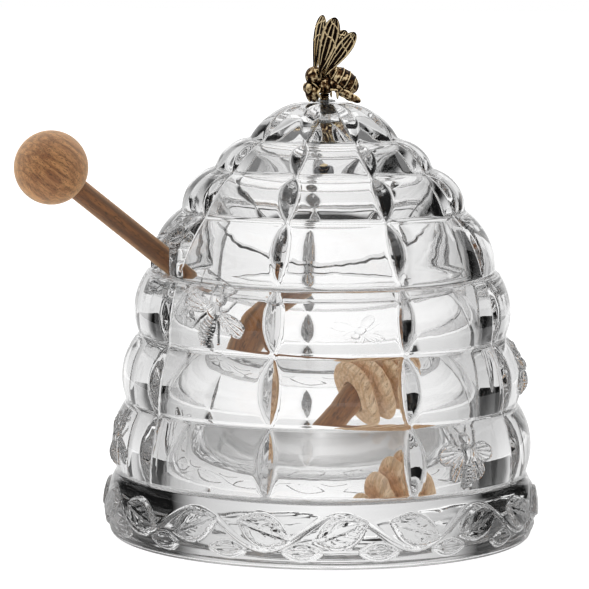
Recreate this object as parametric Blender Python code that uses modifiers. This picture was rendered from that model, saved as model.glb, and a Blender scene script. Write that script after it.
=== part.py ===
"""Cut crystal honey pot in the shape of a beehive, with its lid, bee finial and wooden dipper.

The origin is the centre of the flat underside and +Z is up. The dipper lies in the XZ plane:
it leans over the rim on the -X side, through the arched notch in the lid. Lengths are metres.
"""
import math

import bmesh
import bpy
from mathutils import Matrix, Vector

# Clearances
FIT_GAP = 0.0003
FLANGE_CLEARANCE = 0.0006
NOTCH_HEADROOM = 0.0016
CUT_OVERRUN = 0.0010

# Panels cut into every tier of the jar and the lid
PANELS = 9
TURN_STEPS_PER_PANEL = 5
ARC_STEPS = 4
GROOVE_HALF_ANGLE = math.radians(42)
GROOVE_REACH = 0.0040
NODE_CUT = 0.0004

# Jar, from the foot up
FOOT_RADIUS = 0.0612
FOOT_ROUND = 0.0024
BAND_RADIUS = 0.0630
BAND_HEIGHT = 0.0194
LOWER_TIER_HEIGHT = 0.0204
MIDDLE_TIER_HEIGHT = 0.0199
UPPER_TIER_HEIGHT = 0.0185
MOUTH_RADIUS = 0.0470
WELL_TAPER = 0.0005
RIM_WALL = 0.0046
UPPER_VALLEY_WALL = 0.0073
LOWER_VALLEY_WALL = 0.0109
BAND_TOP_WALL = 0.0141
LOWER_BULGE = 0.0025
MIDDLE_BULGE = 0.0027
UPPER_BULGE = 0.0024
RIM_ROUND = 0.0012
FLOOR_THICKNESS = 0.0120
WELL_CORNER_ROUND = 0.0080

# Leaf scroll on the foot band
LEAF_LENGTH = 0.0158
LEAF_WIDTH = 0.0086
LEAF_RELIEF = 0.0024
LEAF_TILT = math.radians(20)
LEAF_HEIGHT = 0.0112
BUD_LENGTH = 0.0110
BUD_WIDTH = 0.0046
BUD_RELIEF = 0.0012
BUD_HEIGHT = 0.0054

# Bees in relief on the jar, each on one panel
PANEL_BEE_LENGTH = 0.0170

# Lid, from its foot up
LID_STEP = 0.0009
LID_FOOT_HEIGHT = 0.0018
SKIRT_HEIGHT = 0.0160
SHOULDER_HEIGHT = 0.0123
BROW_HEIGHT = 0.0086
CROWN_HEIGHT = 0.0104
SHOULDER_RADIUS = 0.0419
BROW_RADIUS = 0.0322
CROWN_RADIUS = 0.0220
SEAT_RADIUS = 0.0065
SKIRT_BULGE = 0.0021
SHOULDER_BULGE = 0.0025
BROW_BULGE = 0.0019
CROWN_BULGE = 0.0023
LID_WALL = 0.0045
FLANGE_WALL = 0.0030
FLANGE_DEPTH = 0.0058
CEILING_THICKNESS = 0.0074
CEILING_RADIUS = 0.0078
INNER_BULGE = 0.0007

# Finial fixing
STUD_RADIUS = 0.0014
STUD_GRIP = 0.0022
SEAT_WASHER_RADIUS = 0.0032
SEAT_WASHER_THICKNESS = 0.0005
CUSHION_WASHER_RADIUS = 0.0048
CUSHION_WASHER_THICKNESS = 0.0010
NUT_ACROSS_CORNERS = 0.0064
NUT_THICKNESS = 0.0024
STUD_TAIL = 0.0010

# Bee finial
BEE_STAND_OFF = 0.0022
THORAX_RADIUS = 0.0030
ABDOMEN_LENGTH = 0.0112
ABDOMEN_RADIUS = 0.0037
ABDOMEN_RINGS = 5
ABDOMEN_DROOP = math.radians(30)
LEG_RADIUS = 0.0005
FORE_WING_LENGTH = 0.0183
HIND_WING_LENGTH = 0.0165
WING_WIDTH = 0.0058
WING_THICKNESS = 0.0007
FORE_WING_LEAN = math.radians(12)
HIND_WING_LEAN = math.radians(33)
WING_SPREAD = math.radians(14)
FORE_WING_TWIST = math.radians(-38)
HIND_WING_TWIST = math.radians(14)

# Dipper
KNOB_RADIUS = 0.01075
ROD_RADIUS = 0.0032
ROD_OUTSIDE_LENGTH = 0.0465
ROD_SOCKET = 0.0085
HEAD_RADIUS = 0.0122
HEAD_CORE_RADIUS = 0.0060
HEAD_REST_INSET = 0.0212
FIN_COUNT = 6
FIN_THICKNESS = 0.0028
FIN_SPACE = 0.0021
FIN_ROUND = 0.0010
NOSE_LENGTH = 0.0022

# Shares of the sizes that they follow
END_FIN_SHARE = 0.76
NOSE_RADIUS_SHARE = 0.55
LEAF_SINK_SHARE = 0.35
LIMB_TIP_SHARE = 0.75
ABDOMEN_RING_SHARES = (0.18, 0.82)
ABDOMEN_CREASE_SHARE = 0.9
# Half widths and heights round one side of a wing, from its root to its tip
WING_OUTLINE_SHARES = (
    (0.05, 0),
    (0.12, 0.08),
    (0.38, 0.22),
    (0.70, 0.38),
    (0.92, 0.54),
    (1.00, 0.68),
    (0.92, 0.82),
    (0.62, 0.93),
    (0.30, 0.98),
)
# Length along and across the bee, thickness and place along it, as shares of its length
PANEL_BEE_SHARES = {
    "abdomen": (0.56, 0.32, 0.22, -0.22),
    "thorax": (0.30, 0.30, 0.22, 0.17),
    "head": (0.20, 0.22, 0.15, 0.39),
}
PANEL_WING_SHARES = (0.60, 0.28, 0.11)
# Tier, panel counted round from the notch, turn of the head and angle from the head to each wing
PANEL_BEES = (
    ("upper", 1, math.radians(66), math.radians(100)),
    ("lower", 3, math.radians(90), math.radians(152)),
    ("middle", 4, math.radians(120), math.radians(100)),
    ("middle", 6, math.radians(59), math.radians(82)),
    ("middle", 8, math.radians(120), math.radians(100)),
    ("lower", 0, math.radians(60), math.radians(100)),
)
# Places on the finial bee, as shares of its thorax radius from the middle of its belly
THORAX_PLACE_SHARES = (-1.10, 0, 0.83)
FACE_PLACE_SHARES = (-1.55, 0, -0.62)
FACE_SIZE_SHARES = (1.30, 1.55, 2.05)
ABDOMEN_PLACE_SHARES = (1.73, 0, 0.40)
EYE_PLACE_SHARES = (-1.80, 0.52, -0.35)
EYE_SIZE_SHARE = 0.75
FORE_WING_ROOT_SHARES = (-0.87, 0.85, 0.90)
HIND_WING_ROOT_SHARES = (-0.43, 0.53, 0.73)
LEG_PLACE_SHARES = (
    ((-0.60, 0.60, -0.20), (-1.00, 1.15, -0.75), (-0.60, 1.00, -1.30)),
    ((0.20, 0.65, -0.40), (0.95, 1.25, -0.45), (1.00, 1.20, -1.30)),
    ((0.30, 0.75, 0.20), (1.50, 1.05, -0.55), (3.40, 1.05, -1.62)),
)

# Places worked out from the sizes above
PANEL_ANGLE = math.tau / PANELS
TURN_STEPS = PANELS * TURN_STEPS_PER_PANEL
# The jar and the lid are turned from here, so that each groove runs down the middle of a face
TURN_START = PANEL_ANGLE / TURN_STEPS_PER_PANEL / 2
RIM_RADIUS = MOUTH_RADIUS + RIM_WALL
WELL_RADIUS = MOUTH_RADIUS - WELL_TAPER
BAND_TOP = (MOUTH_RADIUS - WELL_TAPER + BAND_TOP_WALL, BAND_HEIGHT)
LOWER_VALLEY = (MOUTH_RADIUS + LOWER_VALLEY_WALL, BAND_TOP[1] + LOWER_TIER_HEIGHT)
UPPER_VALLEY = (MOUTH_RADIUS + UPPER_VALLEY_WALL, LOWER_VALLEY[1] + MIDDLE_TIER_HEIGHT)
JAR_HEIGHT = UPPER_VALLEY[1] + UPPER_TIER_HEIGHT
LID_FOOT_RADIUS = RIM_RADIUS - LID_STEP
LID_FOOT_LEVEL = JAR_HEIGHT + FIT_GAP
SKIRT_RING = (LID_FOOT_RADIUS, LID_FOOT_LEVEL + LID_FOOT_HEIGHT)
SHOULDER_RING = (SHOULDER_RADIUS, SKIRT_RING[1] + SKIRT_HEIGHT)
BROW_RING = (BROW_RADIUS, SHOULDER_RING[1] + SHOULDER_HEIGHT)
CROWN_RING = (CROWN_RADIUS, BROW_RING[1] + BROW_HEIGHT)
LID_TOP = CROWN_RING[1] + CROWN_HEIGHT
SEAT_RING = (SEAT_RADIUS, LID_TOP)
CEILING_LEVEL = LID_TOP - CEILING_THICKNESS
FLANGE_RADIUS = MOUTH_RADIUS - FLANGE_CLEARANCE
STUD_BORE_RADIUS = STUD_RADIUS + FIT_GAP
BELLY = Vector((0, 0, LID_TOP + BEE_STAND_OFF + THORAX_RADIUS))
HEAD_LENGTH = FIN_COUNT * FIN_THICKNESS + (FIN_COUNT - 1) * FIN_SPACE
END_FIN_RADIUS = HEAD_RADIUS * END_FIN_SHARE


def dipper_slope():
    """Slope at which the rod rests on the rim while the last fin rests on the floor."""
    rest_run = WELL_RADIUS - HEAD_REST_INSET + MOUTH_RADIUS + RIM_ROUND
    rest_drop = JAR_HEIGHT - RIM_ROUND - FLOOR_THICKNESS - FIT_GAP
    offset = RIM_ROUND + ROD_RADIUS + FIT_GAP - END_FIN_RADIUS
    return math.atan2(rest_drop, rest_run) + math.asin(offset / math.hypot(rest_run, rest_drop))


SLOPE = dipper_slope()
ROD_UP = Vector((-math.cos(SLOPE), 0, math.sin(SLOPE)))
ROD_NORMAL = Vector((math.sin(SLOPE), 0, math.cos(SLOPE)))
RIM_POINT = Vector((-MOUTH_RADIUS - RIM_ROUND, 0, JAR_HEIGHT - RIM_ROUND))
ROD_OVER_RIM = RIM_POINT + ROD_NORMAL * (RIM_ROUND + ROD_RADIUS + FIT_GAP)
FLOOR_POINT = Vector((WELL_RADIUS - HEAD_REST_INSET, 0, FLOOR_THICKNESS + FIT_GAP))
LAST_FIN_EDGE = FLOOR_POINT + ROD_NORMAL * END_FIN_RADIUS
KNOB_CENTRE = ROD_OVER_RIM + ROD_UP * ROD_OUTSIDE_LENGTH
ROD_TOP_AT_LID = (
    ROD_OVER_RIM.z
    + (LID_FOOT_RADIUS + ROD_OVER_RIM.x) * math.tan(SLOPE)
    + ROD_RADIUS / math.cos(SLOPE)
)
NOTCH_RADIUS = ROD_TOP_AT_LID - LID_FOOT_LEVEL + NOTCH_HEADROOM

PARTS = "honey_pot"
CUTTERS = "honey_pot_cutters"


def clear_scene():
    for old in list(bpy.data.objects):
        bpy.data.objects.remove(old)
    for name in (PARTS, CUTTERS):
        group = bpy.data.collections.new(name)
        bpy.context.scene.collection.children.link(group)


def new_object(name, mesh, group=PARTS):
    made = bpy.data.objects.new(name, mesh)
    bpy.data.collections[group].objects.link(made)
    if group == CUTTERS:
        made.hide_render = True
        made.display_type = "WIRE"
    return made


def mesh_from(bm, name):
    bmesh.ops.recalc_face_normals(bm, faces=bm.faces)
    mesh = bpy.data.meshes.new(name)
    bm.to_mesh(mesh)
    bm.free()
    return mesh


def turned(name, profile, steps, group=PARTS, closed=False, start=0):
    """Turn a profile of (radius, height) points, given down its outer side, about the Z axis."""
    bm = bmesh.new()
    first_side = Matrix.Rotation(start, 4, "Z")
    verts = [bm.verts.new(first_side @ Vector((radius, 0, height))) for radius, height in profile]
    for first, second in zip(verts, verts[1:]):
        bm.edges.new((first, second))
    if closed:
        bm.edges.new((verts[-1], verts[0]))
    mesh = bpy.data.meshes.new(name)
    bm.to_mesh(mesh)
    bm.free()
    made = new_object(name, mesh, group)
    screw = made.modifiers.new("turn", "SCREW")
    screw.steps = steps
    screw.render_steps = steps
    screw.use_merge_vertices = True
    screw.merge_threshold = FIT_GAP / 30
    return made


def smooth(made, angle=30):
    made.data.shade_smooth()
    made.data.set_sharp_from_angle(angle=math.radians(angle))


def boolean(made, other, operation="DIFFERENCE", overlapping=False):
    cut = made.modifiers.new(other.name, "BOOLEAN")
    cut.operation = operation
    cut.object = other
    cut.solver = "EXACT"
    cut.use_self = overlapping


def finish(made, name, colour, roughness, metallic=0.0, clear=False, index=1.5):
    material = bpy.data.materials.new(name)
    material.use_nodes = True
    shader = material.node_tree.nodes["Principled BSDF"]
    shader.inputs["Base Color"].default_value = (*colour, 1)
    shader.inputs["Roughness"].default_value = roughness
    shader.inputs["Metallic"].default_value = metallic
    if clear:
        shader.inputs["Transmission Weight"].default_value = 1
        shader.inputs["IOR"].default_value = index
    made.data.materials.append(material)


def crystal(made):
    finish(made, "lead_crystal", (0.97, 0.98, 0.98), 0.02, clear=True, index=1.545)


def antique_brass(made):
    finish(made, "antique_brass", (0.60, 0.42, 0.20), 0.32, metallic=1.0)


def bulged_arc(top, bottom, bulge, steps=ARC_STEPS):
    """Points from top to bottom on the arc that stands bulge proud of the chord between them."""
    chord = Vector(bottom) - Vector(top)
    outward = Vector((-chord.y, chord.x)).normalized()
    half = chord.length / 2
    radius = (half * half + bulge * bulge) / (2 * bulge)
    sweep = math.asin(half / radius)
    points = []
    for step in range(steps + 1):
        share = step / steps
        turn = sweep * (2 * share - 1)
        along = radius * math.sin(turn) / chord.length + 0.5
        proud = radius * math.cos(turn) - (radius - bulge)
        points.append(tuple(Vector(top) + chord * along + outward * proud))
    return points


def corner_arc(centre, radius, start, end, steps=4):
    """Points round a corner, from the angle start to the angle end, in degrees from +X."""
    points = []
    for step in range(steps + 1):
        turn = math.radians(start + (end - start) * step / steps)
        points.append((centre[0] + radius * math.cos(turn), centre[1] + radius * math.sin(turn)))
    return points


def outward_normals(rings):
    """For each ring of a profile that runs downwards, the unit normal of its outer side."""
    normals = []
    for index in range(len(rings)):
        before = Vector(rings[max(index - 1, 0)])
        after = Vector(rings[min(index + 1, len(rings) - 1)])
        run = after - before
        normals.append(Vector((-run.y, run.x)).normalized())
    return normals


def groove_cutter(name, bottom_line, normals):
    """A V shaped wedge along each panel joint, its lowest edge following the bottom line."""
    half_width = GROOVE_REACH * math.tan(GROOVE_HALF_ANGLE)
    bm = bmesh.new()
    for panel in range(PANELS):
        turn = Matrix.Rotation(panel * PANEL_ANGLE, 4, "Z")
        sections = []
        for (radius, height), normal in zip(bottom_line, normals):
            out = Vector((radius + normal.x * GROOVE_REACH, 0, height + normal.y * GROOVE_REACH))
            side = Vector((0, half_width, 0))
            corners = (Vector((radius, 0, height)), out - side, out + side)
            sections.append([bm.verts.new(turn @ corner) for corner in corners])
        for upper, lower in zip(sections, sections[1:]):
            for first in range(3):
                second = (first + 1) % 3
                bm.faces.new((upper[first], upper[second], lower[second], lower[first]))
        bm.faces.new(sections[0])
        bm.faces.new(reversed(sections[-1]))
    return new_object(name, mesh_from(bm, name), CUTTERS)


def jar_outer_profile():
    rim_top = RIM_RADIUS - RIM_ROUND
    points = corner_arc((rim_top, JAR_HEIGHT - RIM_ROUND), RIM_ROUND, 90, 0, steps=3)
    points += bulged_arc(points[-1], UPPER_VALLEY, UPPER_BULGE)[1:]
    points += bulged_arc(UPPER_VALLEY, LOWER_VALLEY, MIDDLE_BULGE)[1:]
    points += bulged_arc(LOWER_VALLEY, BAND_TOP, LOWER_BULGE)[1:]
    band_bulge = BAND_RADIUS - FOOT_RADIUS
    points += bulged_arc(BAND_TOP, (FOOT_RADIUS, FOOT_ROUND), band_bulge, steps=3)[1:]
    points += corner_arc((FOOT_RADIUS - FOOT_ROUND, FOOT_ROUND), FOOT_ROUND, 0, -90, steps=3)[1:]
    return points


def jar_profile():
    floor_edge = WELL_RADIUS - WELL_CORNER_ROUND
    corner = (floor_edge, FLOOR_THICKNESS + WELL_CORNER_ROUND)
    points = [(0, FLOOR_THICKNESS)]
    points += corner_arc(corner, WELL_CORNER_ROUND, -90, 0)
    rim_centre = (MOUTH_RADIUS + RIM_ROUND, JAR_HEIGHT - RIM_ROUND)
    points += corner_arc(rim_centre, RIM_ROUND, 180, 90, steps=3)
    points += jar_outer_profile()
    points.append((0, 0))
    return points


def jar_groove_line():
    nodes = [(RIM_RADIUS, JAR_HEIGHT), UPPER_VALLEY, LOWER_VALLEY, BAND_TOP]
    line = [(radius - NODE_CUT, height) for radius, height in nodes]
    above_rim = (line[0][0], JAR_HEIGHT + CUT_OVERRUN)
    clear_of_band = (BAND_RADIUS + CUT_OVERRUN, BAND_HEIGHT - CUT_OVERRUN)
    return [above_rim, *line, clear_of_band]


def add_pointed_pod(bm, size, place, rings):
    """A pod with pointed ends, size (length, width, thickness), put where place sends it."""
    made = bmesh.ops.create_uvsphere(bm, u_segments=6, v_segments=rings, radius=1)
    for vert in made["verts"]:
        along = vert.co.z
        slim = math.sqrt(max(0, 1 - along * along))
        across = vert.co.x * slim
        proud = vert.co.y * slim
        vert.co = place(Vector((along * size[0], across * size[1], proud * size[2])) / 2)


def wall_radius(height):
    """Radius of the outside of the jar at a height, before its panels are cut."""
    profile = jar_outer_profile()
    for above, below in zip(profile, profile[1:]):
        if below[1] <= height <= above[1] and above[1] > below[1]:
            share = (above[1] - height) / (above[1] - below[1])
            return above[0] + share * (below[0] - above[0])
    return FOOT_RADIUS


def on_wall(angle, height, turn, sink=0):
    """A function that lays a flat point, its Z standing proud, on the wall round a place."""
    spin = Matrix.Rotation(turn, 4, "Z")
    around = wall_radius(height)

    def place(point):
        flat = spin @ point
        radius = wall_radius(height + flat.y) + flat.z - sink
        side = angle + flat.x / around
        return Vector((radius * math.cos(side), radius * math.sin(side), height + flat.y))

    return place


def leaf_scroll():
    """Leaves that lean left and right in turn round the foot, with a bud below each gap."""
    bm = bmesh.new()
    leaf_sink = LEAF_RELIEF * LEAF_SINK_SHARE
    bud_sink = BUD_RELIEF * LEAF_SINK_SHARE
    for leaf in range(2 * PANELS):
        angle = (leaf - PANELS) * PANEL_ANGLE / 2
        tilt = -LEAF_TILT if leaf % 2 == PANELS % 2 else LEAF_TILT
        size = (LEAF_LENGTH, LEAF_WIDTH, 2 * LEAF_RELIEF)
        add_pointed_pod(bm, size, on_wall(angle, LEAF_HEIGHT, tilt, leaf_sink), rings=6)
        size = (BUD_LENGTH, BUD_WIDTH, 2 * BUD_RELIEF)
        below_gap = angle + PANEL_ANGLE / 4
        add_pointed_pod(bm, size, on_wall(below_gap, BUD_HEIGHT, 0, bud_sink), rings=4)
    return new_object("leaf_scroll", mesh_from(bm, "leaf_scroll"), CUTTERS)


def add_ellipsoid(bm, size, matrix, segments=8, rings=5):
    scale = Matrix.Diagonal((*(length / 2 for length in size), 1))
    made = bmesh.ops.create_uvsphere(
        bm, u_segments=segments, v_segments=rings, radius=1, matrix=matrix @ scale
    )
    return made["verts"]


def panel_bees():
    """Small bees in relief that follow the wall: drawn flat along X, then laid on their panels."""
    bm = bmesh.new()
    tiers = {
        "upper": (JAR_HEIGHT + UPPER_VALLEY[1]) / 2,
        "middle": (UPPER_VALLEY[1] + LOWER_VALLEY[1]) / 2,
        "lower": (LOWER_VALLEY[1] + BAND_TOP[1]) / 2,
    }
    for tier, panel, heading, wing_angle in PANEL_BEES:
        drawn = []
        for length, width, thick, along in PANEL_BEE_SHARES.values():
            spot = Matrix.Translation((along * PANEL_BEE_LENGTH, 0, 0))
            size = Vector((length, width, thick)) * PANEL_BEE_LENGTH
            drawn += add_ellipsoid(bm, size, spot)
        for side in (-1, 1):
            root = Matrix.Translation((PANEL_BEE_LENGTH * PANEL_BEE_SHARES["thorax"][3], 0, 0))
            spread = Matrix.Rotation(side * wing_angle, 4, "Z")
            reach = Matrix.Translation((PANEL_BEE_LENGTH * PANEL_WING_SHARES[0] / 2, 0, 0))
            size = Vector(PANEL_WING_SHARES) * PANEL_BEE_LENGTH
            drawn += add_ellipsoid(bm, size, root @ spread @ reach)
        place = on_wall(math.pi + panel * PANEL_ANGLE, tiers[tier], heading)
        for vert in drawn:
            vert.co = place(vert.co)
    return new_object("panel_bees", mesh_from(bm, "panel_bees"), CUTTERS)


def make_jar():
    jar = turned("jar", jar_profile(), TURN_STEPS, start=TURN_START)
    line = jar_groove_line()
    boolean(jar, groove_cutter("jar_grooves", line, [Vector((1, 0))] * len(line)))
    boolean(jar, leaf_scroll(), "UNION")
    boolean(jar, panel_bees(), "UNION", overlapping=True)
    smooth(jar)
    crystal(jar)
    return jar


def lid_rings():
    return [SEAT_RING, CROWN_RING, BROW_RING, SHOULDER_RING, SKIRT_RING]


def lid_outer_profile():
    bulges = (CROWN_BULGE, BROW_BULGE, SHOULDER_BULGE, SKIRT_BULGE)
    rings = lid_rings()
    points = [SEAT_RING]
    for upper, lower, bulge in zip(rings, rings[1:], bulges):
        points += bulged_arc(upper, lower, bulge, steps=3)[1:]
    foot_round = LID_FOOT_HEIGHT / 2
    centre = (LID_FOOT_RADIUS - foot_round, LID_FOOT_LEVEL + foot_round)
    points += corner_arc(centre, foot_round, 0, -90, steps=2)
    return points


def lid_inner_profile():
    """The smooth inside, from the foot of the flange up to the ceiling under the finial."""
    flange_inner = FLANGE_RADIUS - FLANGE_WALL
    flange_bottom = LID_FOOT_LEVEL - FLANGE_DEPTH
    rings = lid_rings()
    normals = outward_normals(rings)
    inside = [
        (radius - LID_WALL * normal.x, height - LID_WALL * normal.y)
        for (radius, height), normal in list(zip(rings, normals))[1:4]
    ]
    inside = [(CEILING_RADIUS, CEILING_LEVEL), *inside, (flange_inner, SKIRT_RING[1])]
    points = []
    for upper, lower in zip(inside, inside[1:]):
        points += bulged_arc(upper, lower, INNER_BULGE, steps=2)[:-1]
    points.append(inside[-1])
    points.append((flange_inner, flange_bottom))
    return points[::-1]


def lid_profile():
    points = [(STUD_BORE_RADIUS, LID_TOP)]
    points += lid_outer_profile()
    points.append((FLANGE_RADIUS, LID_FOOT_LEVEL))
    points.append((FLANGE_RADIUS, LID_FOOT_LEVEL - FLANGE_DEPTH))
    points += lid_inner_profile()
    points.append((STUD_BORE_RADIUS, CEILING_LEVEL))
    return points


def lid_groove_line():
    nodes = [(radius - NODE_CUT, height) for radius, height in lid_rings()[1:]]
    seat_edge = (SEAT_RADIUS, LID_TOP + NODE_CUT)
    above_seat = (SEAT_RADIUS / 2, LID_TOP + NODE_CUT + CUT_OVERRUN)
    clear_of_foot = (SKIRT_RING[0] + 2 * CUT_OVERRUN, SKIRT_RING[1] - CUT_OVERRUN)
    return [above_seat, seat_edge, *nodes, clear_of_foot]


def notch_cutter():
    """The arched doorway for the rod, cut through the skirt and the flange on the -X side."""
    low = LID_FOOT_LEVEL - FLANGE_DEPTH - CUT_OVERRUN
    outline = [(-NOTCH_RADIUS, low), *corner_arc((0, LID_FOOT_LEVEL), NOTCH_RADIUS, 180, 0, 16)]
    outline.append((NOTCH_RADIUS, low))
    inner_end = -(FLANGE_RADIUS - FLANGE_WALL) / 2
    outer_end = -LID_FOOT_RADIUS - SKIRT_BULGE - CUT_OVERRUN
    return prism("notch", outline, inner_end, outer_end)


def prism(name, outline, start, end, group=CUTTERS):
    """An outline in Y and Z, drawn out along X from start to end."""
    bm = bmesh.new()
    face = bm.faces.new([bm.verts.new((start, side, height)) for side, height in outline])
    drawn = bmesh.ops.extrude_face_region(bm, geom=[face])
    moved = [item for item in drawn["geom"] if isinstance(item, bmesh.types.BMVert)]
    bmesh.ops.translate(bm, verts=moved, vec=(end - start, 0, 0))
    return new_object(name, mesh_from(bm, name), group)


def make_lid():
    lid = turned("lid", lid_profile(), TURN_STEPS, closed=True, start=TURN_START)
    line = lid_groove_line()
    boolean(lid, groove_cutter("lid_grooves", line, outward_normals(line)), overlapping=True)
    boolean(lid, notch_cutter())
    smooth(lid)
    crystal(lid)
    return lid


def ring_plate(name, outer, inner, top, thickness, steps=24):
    """A flat ring with a round hole, such as a washer."""
    profile = [(inner, top), (outer, top), (outer, top - thickness), (inner, top - thickness)]
    return turned(name, profile, steps, closed=True)


def make_fixing():
    """The stud that holds the bee, its two washers and the nut under the ceiling of the lid."""
    seat_top = LID_TOP + FIT_GAP + SEAT_WASHER_THICKNESS
    seat = ring_plate(
        "seat_washer", SEAT_WASHER_RADIUS, STUD_BORE_RADIUS, seat_top, SEAT_WASHER_THICKNESS
    )
    finish(seat, "clear_plastic", (0.85, 0.86, 0.86), 0.25, clear=True, index=1.46)
    cushion_top = CEILING_LEVEL - FIT_GAP
    cushion = ring_plate(
        "cushion_washer",
        CUSHION_WASHER_RADIUS,
        STUD_BORE_RADIUS,
        cushion_top,
        CUSHION_WASHER_THICKNESS,
    )
    finish(cushion, "black_rubber", (0.02, 0.02, 0.02), 0.7)
    nut_top = cushion_top - CUSHION_WASHER_THICKNESS - FIT_GAP
    nut = ring_plate(
        "nut", NUT_ACROSS_CORNERS / 2, STUD_BORE_RADIUS, nut_top, NUT_THICKNESS, steps=6
    )
    finish(nut, "plated_steel", (0.55, 0.56, 0.57), 0.3, metallic=1.0)
    stud_bottom = nut_top - NUT_THICKNESS - STUD_TAIL
    stud_top = BELLY.z - THORAX_RADIUS + STUD_GRIP
    profile = [(0, stud_top), (STUD_RADIUS, stud_top), (STUD_RADIUS, stud_bottom), (0, stud_bottom)]
    stud = turned("finial_stud", profile, 16)
    antique_brass(stud)


def limb(bm, start, end, radius):
    """A round limb from start to end, thinner at its end."""
    run = Vector(end) - Vector(start)
    place = Matrix.Translation((Vector(start) + Vector(end)) / 2)
    turn = run.to_track_quat("Z", "Y").to_matrix().to_4x4()
    bmesh.ops.create_cone(
        bm,
        cap_ends=True,
        segments=6,
        radius1=radius,
        radius2=radius * LIMB_TIP_SHARE,
        depth=run.length,
        matrix=place @ turn,
    )


def abdomen_profile():
    """Rings of the abdomen from its tail to the waist, as (radius, height) points."""
    points = [(0, ABDOMEN_LENGTH / 2)]
    for ring in range(ABDOMEN_RINGS):
        for edge in ABDOMEN_RING_SHARES:
            share = (ring + edge) / ABDOMEN_RINGS
            height = ABDOMEN_LENGTH * (0.5 - share)
            swell = math.sqrt(1 - (2 * share - 1) ** 2)
            points.append((ABDOMEN_RADIUS * swell, height))
        share = (ring + 1) / ABDOMEN_RINGS
        if ring < ABDOMEN_RINGS - 1:
            swell = math.sqrt(1 - (2 * share - 1) ** 2)
            crease = ABDOMEN_RADIUS * swell * ABDOMEN_CREASE_SHARE
            points.append((crease, ABDOMEN_LENGTH * (0.5 - share)))
    points.append((0, -ABDOMEN_LENGTH / 2))
    return points


def bee_place(shares, side=1):
    """A place on the bee, given as shares of its thorax radius from the middle of its belly."""
    along, out, up = shares
    return BELLY + Vector((along, side * out, up)) * THORAX_RADIUS


def wing_outline(length, margin):
    """A blade fullest beyond its middle, grown all round by a margin, as (across, up) points."""
    half = [(WING_WIDTH / 2 * across + margin, length * up) for across, up in WING_OUTLINE_SHARES]
    half[0] = (half[0][0], -margin)
    left = [(-across, up) for across, up in reversed(half)]
    return [*half, (0, length + margin), *left]


def wing_blade(name, wing, margin=0, group=PARTS):
    """One wing in its place, root in the thorax, made larger all round by a margin."""
    side, root_shares, lean, twist, length = wing
    thickness = WING_THICKNESS + 2 * margin
    blade = prism(name, wing_outline(length, margin), -thickness / 2, thickness / 2, group)
    root = Matrix.Translation(bee_place(root_shares, side))
    tip_out = Matrix.Rotation(-side * WING_SPREAD, 4, "X")
    tip_aft = Matrix.Rotation(lean, 4, "Y")
    face = Matrix.Rotation(side * (math.pi / 2 - twist), 4, "Z")
    blade.matrix_world = root @ tip_out @ tip_aft @ face
    return blade


FORE_WING = (FORE_WING_ROOT_SHARES, FORE_WING_LEAN, FORE_WING_TWIST, FORE_WING_LENGTH)
HIND_WING = (HIND_WING_ROOT_SHARES, HIND_WING_LEAN, HIND_WING_TWIST, HIND_WING_LENGTH)
WINGS = {
    "left_fore_wing": (-1, *FORE_WING),
    "left_hind_wing": (-1, *HIND_WING),
    "right_fore_wing": (1, *FORE_WING),
    "right_hind_wing": (1, *HIND_WING),
}


def bee_limbs():
    """Head, eyes, thorax, abdomen and legs, which overlap and are joined to the belly."""
    bm = bmesh.new()
    thorax = Matrix.Translation(bee_place(THORAX_PLACE_SHARES))
    add_ellipsoid(bm, [2 * THORAX_RADIUS] * 3, thorax, 12, 8)
    face = Matrix.Translation(bee_place(FACE_PLACE_SHARES))
    add_ellipsoid(bm, Vector(FACE_SIZE_SHARES) * THORAX_RADIUS, face, 10, 6)
    for side in (-1, 1):
        eye = Matrix.Translation(bee_place(EYE_PLACE_SHARES, side))
        add_ellipsoid(bm, [EYE_SIZE_SHARE * THORAX_RADIUS] * 3, eye, 8, 5)
        for hip, knee, foot in LEG_PLACE_SHARES:
            limb(bm, bee_place(hip, side), bee_place(knee, side), LEG_RADIUS)
            limb(bm, bee_place(knee, side), bee_place(foot, side), LEG_RADIUS)
    return new_object("bee_limbs", mesh_from(bm, "bee_limbs"), CUTTERS)


def bee_abdomen():
    abdomen = turned("bee_abdomen", abdomen_profile(), 12, CUTTERS)
    place = Matrix.Translation(bee_place(ABDOMEN_PLACE_SHARES))
    abdomen.matrix_world = place @ Matrix.Rotation(math.pi / 2 + ABDOMEN_DROOP, 4, "Y")
    return abdomen


def make_bee():
    """The cast bee: it faces the notch, its belly is bored for the stud, its back slotted."""
    bm = bmesh.new()
    add_ellipsoid(bm, [2 * THORAX_RADIUS] * 3, Matrix.Translation(BELLY), 12, 8)
    body = new_object("bee_body", mesh_from(bm, "bee_body"))
    boolean(body, bee_limbs(), "UNION", overlapping=True)
    boolean(body, bee_abdomen(), "UNION")
    bore_top = BELLY.z - THORAX_RADIUS + STUD_GRIP + FIT_GAP
    bore_low = LID_TOP
    profile = [(0, bore_top), (STUD_BORE_RADIUS, bore_top), (STUD_BORE_RADIUS, bore_low)]
    boolean(body, turned("bee_bore", [*profile, (0, bore_low)], 16, CUTTERS))
    for name, wing in WINGS.items():
        boolean(body, wing_blade(name + "_slot", wing, FIT_GAP, CUTTERS))
        antique_brass(wing_blade(name, wing))
    smooth(body, 40)
    antique_brass(body)


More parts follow.
